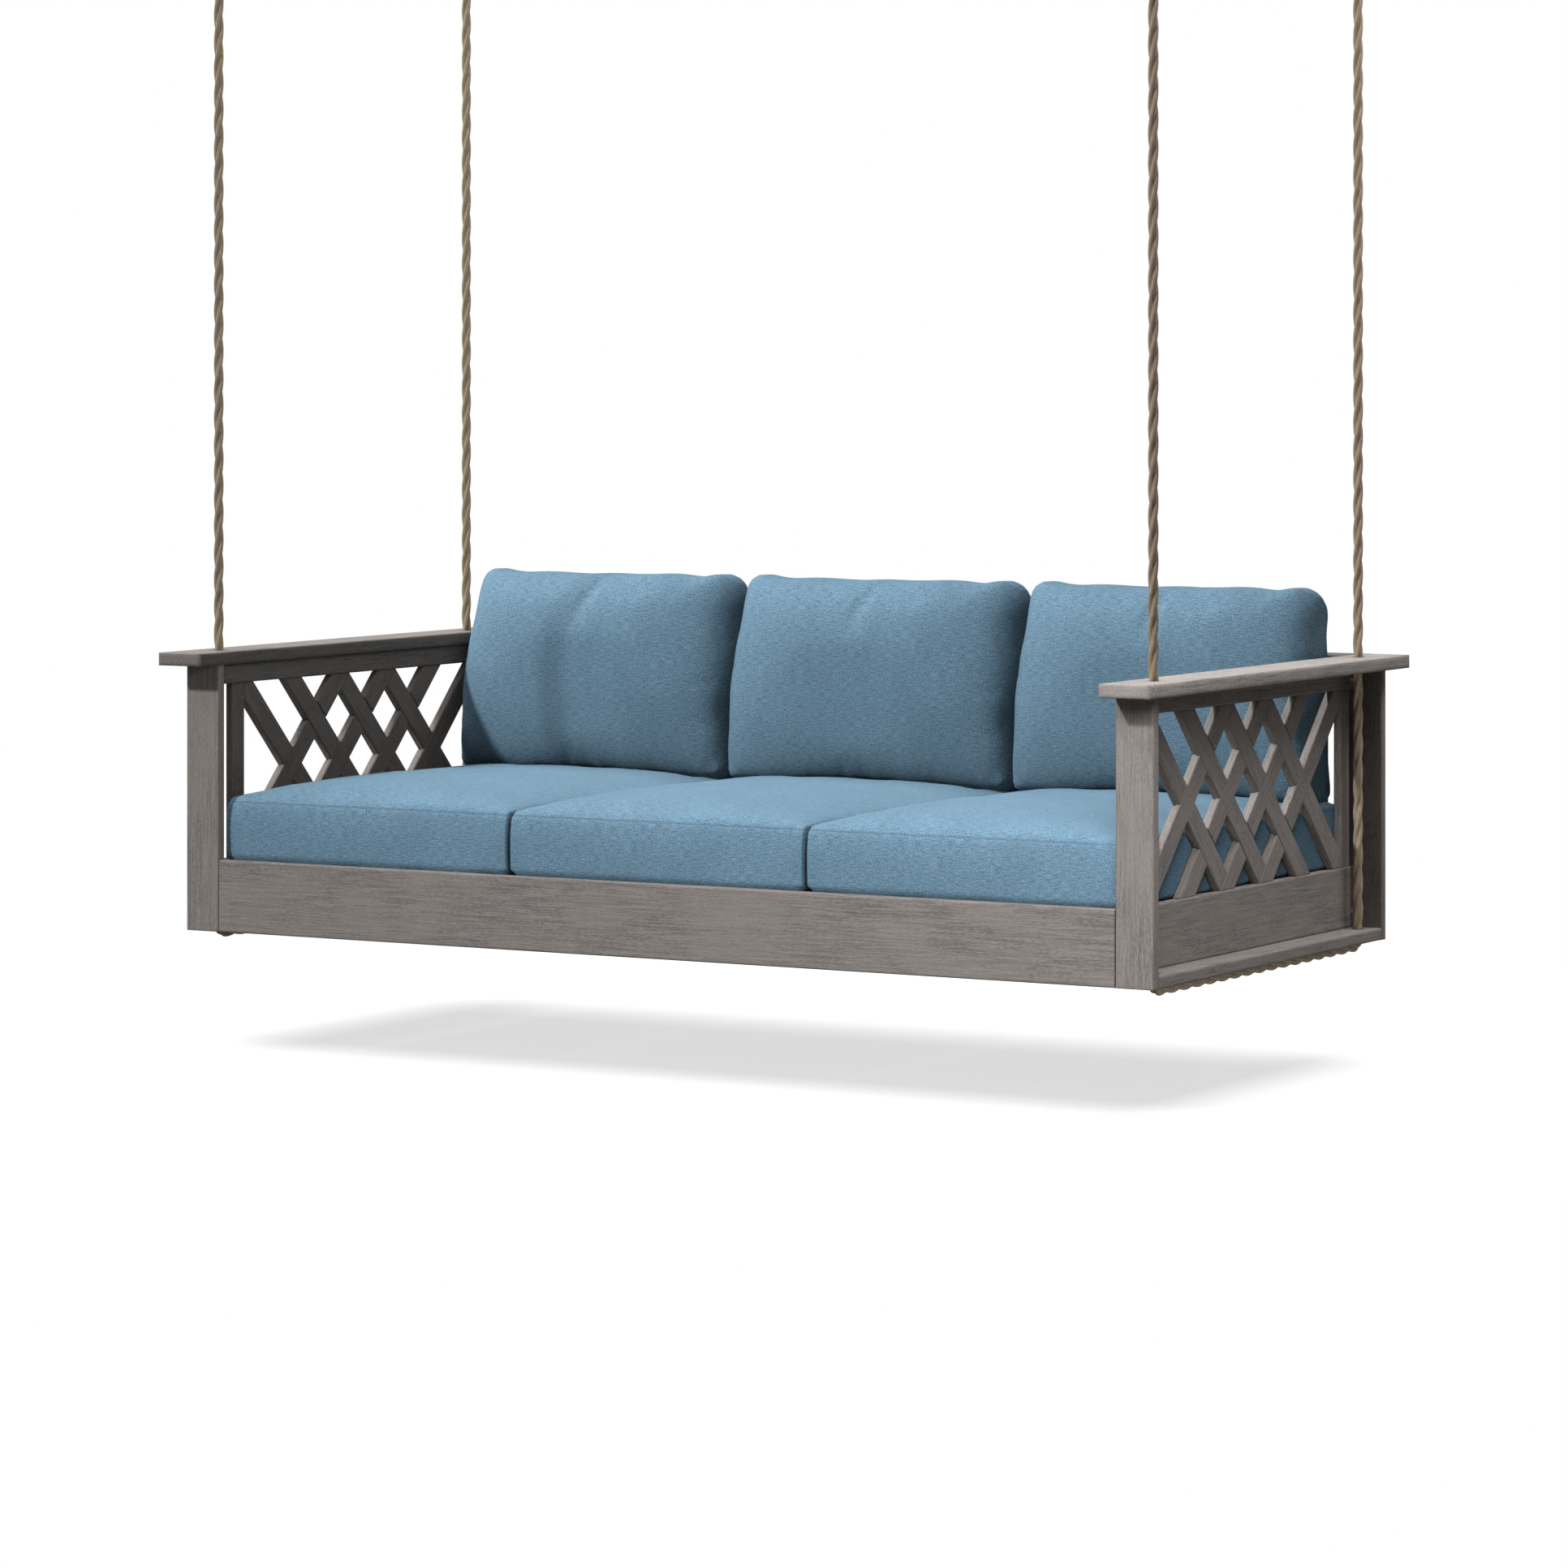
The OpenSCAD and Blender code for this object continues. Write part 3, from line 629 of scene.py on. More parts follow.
class DAYBED_OT_upper_ropes(Operator):
    """Make the four ropes from the arms up to the whippings"""

    bl_idname = "daybed.upper_ropes"
    bl_label = "Upper Ropes"

    def execute(self, context):
        material = bpy.data.materials["laid_rope"]
        for end, side, x, y in ROPES:
            route = upper_route(x, y)
            name = f"{end}_{side}"
            piece = laid_rope(name + "_upper_rope", route, material, round_start=True)
            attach(piece, end + "_ropes")
            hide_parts(name + "_rope")
        return {"FINISHED"}


# Line of a rope's eye, in metres: radius of its bow, the bow's middle below the ceiling, the
# throat below that middle, and how far above the throat its legs end
EYE_RADIUS = 0.0275
EYE_DROP = 0.0517
THROAT_DROP = 0.07
THROAT_LIFT = 0.004
EYE_POINTS = 40
# Thickness of the rope in an eye, as a share of the full rope's
EYE_SQUEEZE = 0.978


class DAYBED_OT_rope_eyes(Operator):
    """Make the eyes in which the ropes hang on their thimbles"""

    bl_idname = "daybed.rope_eyes"
    bl_label = "Rope Eyes"

    def execute(self, context):
        material = bpy.data.materials["laid_rope"]
        lean = math.degrees(math.asin(EYE_RADIUS / THROAT_DROP))
        start = THROAT_LIFT * math.tan(math.radians(lean))
        low = THROAT_LIFT - THROAT_DROP - EYE_DROP
        for end, side, x, y in ROPES:
            bow = arc(y, -EYE_DROP, EYE_RADIUS, 90 - lean, 270 + lean, EYE_POINTS)
            loop = [(y + start, low)] + bow + [(y - start, low)]
            route = [(x, place, z) for place, z in loop]
            piece = laid_rope(f"{end}_{side}_eye", route, material, squeeze=EYE_SQUEEZE)
            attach(piece, end + "_ropes")
            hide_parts(end + "_rope_eyes")
        return {"FINISHED"}


# Rings of points in one turn of twine, and points in a ring
TURN_STEPS = 20
TWINE_SIDES = 8


def wound_twine(name, x, y, low, high, inner, diameter, material):
    """Twine wound closely round a rope, one helix from low to high."""
    turns = (high - low - diameter) / diameter
    count = round(turns * TURN_STEPS) + 1
    radius = inner + diameter / 2
    verts = []
    for i in range(count):
        turn = 2 * math.pi * i / TURN_STEPS
        out = Vector((math.cos(turn), math.sin(turn), 0.0))
        centre = Vector((x, y, low + diameter / 2 + diameter * i / TURN_STEPS)) + out * radius
        for k in range(TWINE_SIDES):
            a = 2 * math.pi * k / TWINE_SIDES
            verts.append(centre + diameter / 2 * (out * math.cos(a) + Vector((0, 0, math.sin(a)))))
    return new_piece(name, verts, [f[::-1] for f in tube_faces(count, TWINE_SIDES)], material)


class DAYBED_OT_whippings(Operator):
    """Wind the twine that holds each rope's spliced end below its eye"""

    bl_idname = "daybed.whippings"
    bl_label = "Whippings"

    def execute(self, context):
        twine_d = context.scene.daybed_hardware.twine_d
        material = bpy.data.materials["waxed_twine"]
        for end, side, x, y in ROPES:
            low, high = (corner.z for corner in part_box(end + "_whippings"))
            name = f"{end}_{side}_whipping"
            piece = wound_twine(name, x, y, low, high, ROPE_D / 2, twine_d, material)
            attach(piece, end + "_ropes")
            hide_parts(end + "_whippings")
        return {"FINISHED"}


# ---- Cushions ----


# Cuts across a block's rounded corners and rims, least bend of a corner in radians, and slack
# in metres in telling the upper corners from the lower ones
CORNER_CUTS = 8
RIM_CUTS = 4
CORNER_BEND = 1.0
CORNER_SLACK = 0.001


def bevel_edges(block, picked, offset, segments):
    """Round the edges of a block, open in edit mode, for which picked is true."""
    cage = bmesh.from_edit_mesh(block.data)
    for edge in cage.edges:
        edge.select_set(picked(edge))
    cage.select_flush(False)
    bmesh.update_edit_mesh(block.data)
    bpy.ops.mesh.select_mode(type="EDGE")
    if any(edge.select for edge in cage.edges):
        bpy.ops.mesh.bevel(offset=offset, segments=segments, affect="EDGES")


def soft_start(name, low, high, corners, rim, voxel):
    """A block with its lower and upper corners and then its rims rounded, meshed evenly."""
    bpy.ops.object.select_all(action="DESELECT")
    centre, size = (low + high) / 2, high - low
    bpy.ops.mesh.primitive_cube_add(size=1, location=centre, scale=size)
    block = bpy.context.object
    block.name = name
    bpy.ops.object.transform_apply(location=True, rotation=True, scale=True)
    thin = min(range(3), key=lambda axis: size[axis])

    def corner(edge, upper):
        start, end = (vert.co for vert in edge.verts)
        long = abs(start[thin] - end[thin]) > size[thin] / 2
        sharp = edge.calc_face_angle(0.0) > CORNER_BEND
        return long and sharp and ((start.z + end.z) / 2 > centre.z + CORNER_SLACK) == upper

    def outline(edge):
        outer = [abs(face.normal[thin]) > 0.5 for face in edge.link_faces]
        return any(outer) and not all(outer)

    bpy.ops.object.mode_set(mode="EDIT")
    bevel_edges(block, lambda edge: corner(edge, False), corners[0], CORNER_CUTS)
    bevel_edges(block, lambda edge: corner(edge, True), corners[1], CORNER_CUTS)
    bevel_edges(block, outline, rim, RIM_CUTS)
    bpy.ops.object.mode_set(mode="OBJECT")
    remesh = block.modifiers.new("even", "REMESH")
    remesh.mode = "VOXEL"
    remesh.voxel_size = voxel
    bpy.ops.object.modifier_apply(modifier="even")
    return block


def on_points(source, name, width=3):
    """A value of each point of source, as a table with a row for each."""
    flat = np.empty(len(source) * width)
    source.foreach_get(name, flat)
    return flat.reshape(-1, width)


def places(mesh):
    return on_points(mesh.vertices, "co")


def set_places(mesh, table):
    mesh.vertices.foreach_set("co", table.ravel())
    mesh.update()


# Cloth of a cover, and the steps of time in which it fills
COVER = {
    "quality": 5,
    "mass": 0.3,
    "tension_stiffness": 20,
    "compression_stiffness": 20,
    "shear_stiffness": 8,
    "bending_stiffness": 0.4,
    "use_pressure": True,
}
FILL_STEPS = 20


def blow_up(piece, seam_weight, settings):
    """Fill the cover: cloth under pressure, with spare cloth and drawn-in seams."""
    before = places(piece.data)
    group = piece.vertex_groups.new(name="seam_pull")
    for index, weight in enumerate(seam_weight):
        group.add([index], float(weight), "REPLACE")
    cloth = piece.modifiers.new("fill", "CLOTH")
    for label, value in COVER.items():
        setattr(cloth.settings, label, value)
    cloth.settings.uniform_pressure_force = settings.pressure
    cloth.settings.vertex_group_shrink = "seam_pull"
    cloth.settings.shrink_min = -settings.spare
    cloth.settings.shrink_max = settings.pucker
    cloth.settings.effector_weights.gravity = 0.0
    cloth.collision_settings.use_collision = False
    for number in range(1, FILL_STEPS + 1):
        bpy.context.scene.frame_set(number)
    graph = bpy.context.evaluated_depsgraph_get()
    after = places(piece.evaluated_get(graph).data)
    piece.modifiers.remove(cloth)
    piece.vertex_groups.clear()
    bpy.context.scene.frame_set(1)
    move = after - before
    far = np.linalg.norm(move, axis=1)
    share = settings.swell / (settings.swell + far)
    return move * share[:, None]


def smooth_step(value, low, high):
    share = np.clip((value - low) / (high - low), 0.0, 1.0)
    return share * share * (3 - 2 * share)


def held_below(value, limit, ease):
    """value, eased off so that it never passes limit."""
    over = np.maximum(value - (limit - ease), 0.0)
    return np.minimum(value, limit - ease) + ease * (1 - np.exp(-over / ease))


def ripple(table, lengths, seed):
    """Soft unevenness from -1 to 1, its waves of the given lengths along the axes."""
    shift = Vector((seed, 2.3 * seed, 0.7 * seed))
    cells = table / np.array(lengths)
    return np.array([noise.noise(Vector(cell) + shift) for cell in cells])


def rippled(mesh, distances, ripples):
    """The mesh's places moved along its normals by ripples, each fading with a distance."""
    table = places(mesh)
    lift = 0.0
    for start, height, reach, lengths, seed in ripples:
        lift += height * np.exp(-distances[start] / reach) * ripple(table, lengths, seed)
    return table + on_points(mesh.vertices, "normal") * lift[:, None]


def cloth_uv(mesh):
    """UV map in metres: each face is laid flat along its largest side, U level."""
    layer = mesh.uv_layers.new(name="cloth").data
    table = places(mesh)
    for polygon in mesh.polygons:
        normal = [abs(c) for c in polygon.normal]
        if normal[2] >= max(normal[0], normal[1]):
            u, v = 0, 1
        elif normal[1] >= normal[0]:
            u, v = 0, 2
        else:
            u, v = 1, 2
        for loop in polygon.loop_indices:
            place = table[mesh.loops[loop].vertex_index]
            layer[loop].uv = (place[u], place[v])


def refine(piece, **values):
    """Keep values on the points, and halve the mesh size."""
    for name, value in values.items():
        piece.data.attributes.new(name, "FLOAT", "POINT").data.foreach_set("value", value)
    bpy.ops.object.select_all(action="DESELECT")
    bpy.context.view_layer.objects.active = piece
    piece.select_set(True)
    fine = piece.modifiers.new("fine", "SUBSURF")
    fine.levels = 1
    fine.render_levels = 1
    bpy.ops.object.modifier_apply(modifier="fine")


def cover_with_canvas(piece):
    piece.data.materials.clear()
    piece.data.materials.append(bpy.data.materials["blue_canvas"])
    smooth_faces(piece.data)
    cloth_uv(piece.data)


def copy_along(piece, name, shift, spare, taper):
    """A copy shifted along the bed, its far side drawn in by spare, and by taper more at the top."""
    other = bpy.data.objects.new(name, piece.data.copy())
    bpy.context.collection.objects.link(other)
    table = places(other.data)
    width = table[:, 0].max() - table[:, 0].min()
    foot = table[:, 2].min()
    drawn_in = spare + taper * (table[:, 2] - foot) / (table[:, 2].max() - foot)
    table[:, 0] *= 1 - drawn_in / width
    table[:, 0] += shift - math.copysign(1, shift) * drawn_in / 2
    set_places(other.data, table)
    return other


def add_cushions(kind, maker, spare, taper=0.0):
    """One cushion from maker in the middle and a copy at each side, spare from the side panel."""
    middle = "middle_" + kind
    low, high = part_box(middle)
    first = maker(middle + "_cover", Vector(low), Vector(high))
    centre = (low.x + high.x) / 2
    cushions = {middle: first}
    for side in ("left", "right"):
        node = f"{side}_{kind}"
        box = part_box(node)
        shift = (box[0].x + box[1].x) / 2 - centre
        cushions[node] = copy_along(first, node + "_cover", shift, spare, taper)
    for node, piece in cushions.items():
        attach(piece, "bed")
        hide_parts(node)


# Share of a back cushion's height, and its thickness there at the sides and in the middle
BACK_PROFILE = np.array((
    (0.00, 0.128, 0.150),
    (0.09, 0.128, 0.169),
    (0.20, 0.127, 0.181),
    (0.37, 0.116, 0.192),
    (0.53, 0.088, 0.193),
    (0.70, 0.060, 0.182),
    (0.86, 0.038, 0.157),
    (1.00, 0.030, 0.112),
))
# Shares of the height over which the profile's kinks are smoothed out
PROFILE_STEPS = (-0.06, -0.03, 0.0, 0.03, 0.06)
# The block that a back cushion starts from: thickness, radius of its lower and of its upper
# corners, and of its rims
BACK_START = 0.123
BACK_CORNERS = (0.009, 0.058)
BACK_RIM = 0.027
# How square the swell is across the cushion, and the distance over which a seam draws in
BACK_SWELL = 2.8
BACK_SEAM = 0.022
# Share of the filling's push that is kept along each axis
BACK_PUSH = (0.2, 1.0, 0.7)
# The dip beside each upper corner, which leaves the corner as an ear: depth, place and width
# as shares of the half width, and the share of the height where it starts
EAR_DIP = 0.0035
EAR_PLACE = 0.68
EAR_WIDTH = 0.15
EAR_START = 0.6
# How far the front may stand proud of the solid, and over what distance it is eased off
BACK_PROUD = 0.010
BACK_EASE = 0.012
# How far the bottom sinks into the seat, and the share of the height over which that fades
BACK_SINK = 0.010
SINK_SHARE = 0.35
# How much narrower the outer cushions are at the bottom, and by how much more at the top
BACK_SPARE = 0.005
BACK_TAPER = 0.004
# Ripples: where they start, height, reach, length of their waves along the axes, and seed
BACK_RIPPLES = (
    ("base", 0.0026, 0.07, (0.042, 1.0, 0.22), 3.1),
    ("top", 0.0030, 0.12, (0.075, 1.0, 0.3), 5.7),
    ("side", 0.0045, 0.05, (0.25, 1.0, 0.06), 8.2),
    ("anywhere", 0.0025, 1.0, (0.16, 1.0, 0.12), 1.4),
)


def thickness_at(rise, column):
    """A column of the profile over the height, its kinks smoothed out."""
    heights, depths = BACK_PROFILE[:, 0], BACK_PROFILE[:, column]
    levels = [np.interp(rise + step, heights, depths) for step in PROFILE_STEPS]
    return sum(levels) / len(levels)


def back_cushion(name, low, high):
    """A plump back cushion, thinner towards its sides and top, with eared corners."""
    settings = bpy.context.scene.daybed_cushions
    front = Vector((low.x, high.y - BACK_START, low.z))
    piece = soft_start(name, front, high, BACK_CORNERS, BACK_RIM, settings.voxel)
    table = places(piece.data)
    centre, half = (low + high) / 2, (high - low) / 2
    across = np.clip((table[:, 0] - centre.x) / half.x, -1, 1)
    rise = (table[:, 2] - low.z) / (2 * half.z)
    depth = (high.y - table[:, 1]) / BACK_START
    side = thickness_at(rise, 1)
    swell = (thickness_at(rise, 2) - side) * np.sqrt(1 - np.abs(across) ** BACK_SWELL)
    table[:, 1] = high.y - depth * (side + swell)
    ear = np.exp(-(((np.abs(across) - EAR_PLACE) / EAR_WIDTH) ** 2))
    table[:, 2] -= smooth_step(rise, EAR_START, 1.0) * (EAR_DIP * ear)
    set_places(piece.data, table)
    edge = np.minimum(half.x - np.abs(table[:, 0] - centre.x), high.z - table[:, 2])
    move = blow_up(piece, np.exp(-((edge / BACK_SEAM) ** 2)), settings)
    table = table + move * BACK_PUSH
    set_places(piece.data, table)
    refine(piece, seam=(depth - 0.5) * side)
    mesh = piece.data
    table = places(mesh)
    distances = {
        "base": np.clip(table[:, 2] - low.z, 0, None),
        "top": np.clip(high.z - table[:, 2], 0, None),
        "side": half.x - np.abs(table[:, 0] - centre.x),
        "anywhere": 0.0,
    }
    table = rippled(mesh, distances, BACK_RIPPLES)
    limit = 2 * half.y + BACK_PROUD
    table[:, 1] = high.y - held_below(high.y - table[:, 1], limit, BACK_EASE)
    table[:, 1] = np.minimum(table[:, 1], high.y)
    rise = (table[:, 2] - low.z) / (2 * half.z)
    table[:, 2] -= BACK_SINK * np.clip((SINK_SHARE - rise) / SINK_SHARE, 0, 1)
    table[:, 0] = np.clip(table[:, 0], low.x, high.x)
    set_places(mesh, table)
    cover_with_canvas(piece)
    return piece


# The block that a seat cushion starts from: its top below the solid's, radius of its corners
# and rims, its mesh size as a multiple of the set one, and its seam below its top
SEAT_TOP = 0.006
SEAT_CORNERS = (0.013, 0.013)
SEAT_RIM = 0.014
SEAT_MESH = 1.1
SEAT_SEAM = 0.012
# Distance over which a seam draws in, and share of the filling's push kept along each axis
SEAM_REACH = 0.02
SEAT_PUSH = (0.2, 0.25, 0.5)
# Crown of the top: height in the middle, how square it is across the cushion, share of the
# depth over which it rises from the front, and its fall towards the back, from and to a depth
SEAT_CROWN = 0.023
CROWN_SWELL = 2.6
CROWN_FRONT = 0.3
CROWN_FALL = 0.55
CROWN_FALLS = (0.4, 0.85)
# Bow of the front: radius, share of it below the middle, and how far back it reaches
SEAT_BOW = 0.22
LOWER_BOW = 0.25
BOW_REACH = 0.08
# Share of the lower front rim's rounding that the filling makes good, and how far back
FRONT_FILL = 0.65
FILL_REACH = 0.04
# Room at each side, how far the top may stand proud of the solid, and between which distances
# from the bed's front the back cushions come to press it flat
SEAT_GAP = 0.005
SEAT_PROUD = 0.03
PRESSED = (0.770, 0.812)
# Room that the outer cushions leave at their outer sides; below zero they are wider
SEAT_SPARE = -0.010
SEAT_RIPPLES = (
    ("seam", 0.0022, 0.04, (0.055, 0.055, 0.2), 2.9),
    ("anywhere", 0.0020, 1.0, (0.13, 0.17, 0.10), 6.6),
)


def seat_cushion(name, low, high):
    """A boxed seat cushion, crowned on top and pressed flat under the back cushions."""
    settings = bpy.context.scene.daybed_cushions
    top = Vector((high.x, high.y, high.z - SEAT_TOP))
    piece = soft_start(name, low, top, SEAT_CORNERS, SEAT_RIM, settings.voxel * SEAT_MESH)
    table = places(piece.data)
    before = table.copy()
    centre, half = (low + top) / 2, (top - low) / 2
    off_centre = np.abs(table - centre)
    edge = np.minimum(half.x - off_centre[:, 0], half.y - off_centre[:, 1])
    move = blow_up(piece, np.exp(-((edge / SEAM_REACH) ** 2)), settings)
    table = table + move * SEAT_PUSH
    across = np.clip(np.abs((before[:, 0] - centre.x) / half.x), 0, 1)
    back = (before[:, 1] - low.y) / (2 * half.y)
    rise = np.clip((before[:, 2] - low.z) / (2 * half.z), 0, 1)
    front_rise = 1 - np.clip(1 - back / CROWN_FRONT, 0, 1) ** 3
    swell = front_rise * (1 - CROWN_FALL * smooth_step(back, *CROWN_FALLS))
    table[:, 2] += rise**2 * ((1 - across**CROWN_SWELL) * swell * SEAT_CROWN)
    from_middle = (rise - 0.5) * 2 * half.z
    bow = np.where(rise < 0.5, LOWER_BOW, 1.0) * from_middle**2 / (2 * SEAT_BOW)
    table[:, 1] += bow * np.exp(-back / BOW_REACH)
    below_rim = np.clip(1 - (before[:, 2] - low.z) / SEAT_RIM, 0, 1)
    rounding = SEAT_RIM * (1 - np.sqrt(1 - below_rim**2))
    table[:, 1] -= FRONT_FILL * rounding * np.exp(-back / FILL_REACH)
    set_places(piece.data, table)
    refine(piece, seam=before[:, 2] - (top.z - SEAT_SEAM))
    mesh = piece.data
    from_seam = np.abs(on_points(mesh.attributes["seam"].data, "value", width=1)[:, 0])
    table = rippled(mesh, {"seam": from_seam, "anywhere": 0.0}, SEAT_RIPPLES)
    pressed = smooth_step(table[:, 1] - FRONT_FACE, *PRESSED)
    limit = high.z + SEAT_PROUD * (1 - pressed)
    table[:, 0] = np.clip(table[:, 0], low.x + SEAT_GAP, high.x - SEAT_GAP)
    table[:, 1] = np.clip(table[:, 1], low.y, high.y)
    table[:, 2] = np.maximum(np.minimum(table[:, 2], limit), low.z)
    set_places(mesh, table)
    cover_with_canvas(piece)
    return piece


class DAYBED_OT_seat_cushions(Operator):
    """Fill the three seat cushions"""

    bl_idname = "daybed.seat_cushions"
    bl_label = "Seat Cushions"

    def execute(self, context):
        add_cushions("seat_cushion", seat_cushion, SEAT_SPARE)
        return {"FINISHED"}


class DAYBED_OT_back_cushions(Operator):
    """Fill the three back cushions"""

    bl_idname = "daybed.back_cushions"
    bl_label = "Back Cushions"

    def execute(self, context):
        add_cushions("back_cushion", back_cushion, BACK_SPARE, BACK_TAPER)
        return {"FINISHED"}


# ---- Finishes of the frame's own pieces ----


def climb_of(node, bays, across):
    """Run and rise of a lattice's slats, as a slope of length 1; across is the panel's axis."""
    low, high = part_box(node)
    angle = math.atan2(high.z - low.z, 2 * (high[across] - low[across]) / bays)
    return math.cos(angle), math.sin(angle)


# Bays of each lattice along its panel; a slat climbs from bottom to top in two of them
SIDE_BAYS = 5
BACK_BAYS = 11

GRAIN_ALONG_X = ("front_rail", "back_bottom_rail", "back_top_rail", "back_cap")
GRAIN_ALONG_Y = ("base_board", "bottom_rail", "top_rail")
GRAIN_ALONG_Z = ("front_stile", "back_stile")
HIDDEN_ALONG_X = ("front_ledger", "back_ledger", "centre_bearer")
# Painted light on the arms, the right arm's colour brightened and the left's darkened, brightness of the
# hidden boards, and how much rounder an arm's edges are
ARM_PAINTED_LIGHT = {"left": 0.93, "right": 1.12}
HIDDEN_SHADE = 0.82
ARM_ROUNDING = 2.2


def on_both_sides(boards):
    return [f"{side}_{board}" for side in SIDES for board in boards]


def dress(nodes, material):
    for node in nodes:
        for slot in frame["nodes"][node].material_slots:
            slot.material = material


class DAYBED_OT_lumber(Operator):
    """Finish the boards, each with the grain along it"""

    bl_idname = "daybed.lumber"
    bl_label = "Lumber"

    def execute(self, context):
        run, rise = climb_of("right_rising_slats", SIDE_BAYS, 1)
        back_run, back_rise = climb_of("back_rising_slats", BACK_BAYS, 0)
        # Each arm gets its own copy of the lumber, brightened or darkened as painted light
        for side, shade in ARM_PAINTED_LIGHT.items():
            arm = make_lumber(f"lumber_of_{side}_arm", (0, 1, 0), shade, ARM_ROUNDING)
            dress([side + "_arm"], arm)
        uprights = on_both_sides(GRAIN_ALONG_Z) + ["back_left_stile", "back_right_stile"]
        uprights += [f"{end}_{side}_post" for end in ENDS for side in SIDES]
        hidden = HIDDEN_SHADE
        for name, along, shade, boards in (
            ("lumber_along_bed", (1, 0, 0), 1.0, GRAIN_ALONG_X),
            ("lumber_across_bed", (0, 1, 0), 1.0, on_both_sides(GRAIN_ALONG_Y)),
            ("lumber_upright", (0, 0, 1), 1.0, uprights),
            ("lumber_rising_side", (0, run, rise), 1.0, on_both_sides(["rising_slats"])),
            ("lumber_falling_side", (0, run, -rise), 1.0, on_both_sides(["falling_slats"])),
            ("lumber_rising_back", (-back_run, 0, back_rise), 1.0, ["back_rising_slats"]),
            ("lumber_falling_back", (back_run, 0, back_rise), 1.0, ["back_falling_slats"]),
            ("hidden_along_bed", (1, 0, 0), hidden, HIDDEN_ALONG_X),
            ("hidden_across_bed", (0, 1, 0), hidden, ["seat_slats"]),
            ("hidden_upright", (0, 0, 1), hidden, ["corner_cleats"]),
        ):
            dress(boards, make_lumber(name, along, shade))
        return {"FINISHED"}


class DAYBED_OT_hardware(Operator):
    """Finish the brackets, bolts, thimbles and screws"""

    bl_idname = "daybed.hardware"
    bl_label = "Hardware"

    def execute(self, context):
        steel = make_zinc("galvanised_steel")
        dress([f"{end}_{side}_bracket" for end in ENDS for side in SIDES], steel)
        dress([end + "_thimbles" for end in ENDS], steel)
        dress(["bracket_bolts", "bracket_nuts", "seat_screws", "back_rail_screws"], steel)
        return {"FINISHED"}


class DAYBED_OT_finishes(Operator):
    """Make the shared node groups and the rope, twine and canvas"""

    bl_idname = "daybed.finishes"
    bl_label = "Finishes"

    def execute(self, context):
        make_grain_group()
        make_weave_group()
        make_yarn_group()
        make_spangle_group()
        make_cloth("blue_canvas")
        make_rope("laid_rope")
        make_twine("waxed_twine")
        return {"FINISHED"}


# ---- Stage ----


# Width of the camera's film in millimetres, and how far it sees in metres
FILM_WIDTH = 36
SIGHT = 60


class DAYBED_OT_camera(Operator):
    """Stand the camera level, with a vertical shift"""

    bl_idname = "daybed.camera"
    bl_label = "Camera"

    def execute(self, context):
        settings = context.scene.daybed_stage
        data = bpy.data.cameras.new("camera")
        data.lens = settings.lens
        data.sensor_width = FILM_WIDTH
        data.shift_y = settings.shift
        data.clip_end = SIGHT
        camera = bpy.data.objects.new("camera", data)
        bpy.context.collection.objects.link(camera)
        camera.location = settings.camera_place
        camera.rotation_euler = (math.pi / 2, 0, settings.camera_turn)
        context.scene.camera = camera
        return {"FINISHED"}


def seen_plain(net):
    """1 for rays of the camera, of reflections and of glass, else 0."""
    path = net.node("LightPath").outputs
    seen = net.math("MAXIMUM", path["Is Camera Ray"], path["Is Glossy Ray"])
    return net.math("MAXIMUM", seen, path["Is Transmission Ray"])


# Size of the floor, and the distances from its middle between which it fades to plain white
FLOOR_SIZE = 60
FLOOR_FADE = (1.4, 2.4)
# Its own glow and its answer to the lamps near the bed, and what a bounce of light sees of it
FLOOR_GLOW = 0.7
FLOOR_LIT = (0.55, 0.55, 0.55, 1)
FLOOR_BOUNCE = (0.03, 0.03, 0.03, 1)
# Direction of the sun's rays, and the sun's width in degrees
SUN_RAY = (0.322, 0.695, -0.565)
SUN_WIDTH = 4
# Place, target and size of each panel
PANELS = {
    "sky": ((0, -0.5, 2.5), (0, -0.5, 0), 6),
    "left": ((-3.6, 0.6, 1.6), (0, 0.2, -1.6), 3.6),
    "right": ((2.4, 0.8, 1.7), (0.9, 0.2, -1.7), 1.5),
    "front": ((1.7, -1.7, -0.7), (0.7, -0.4, -1.8), 0.8),
    "low": ((2.6, -1.0, -2.3), (0.9, 0, -2.05), 0.8),
    "floor": ((-0.9, -0.4, 3.5), (-0.9, -0.4, 0), 9),
}


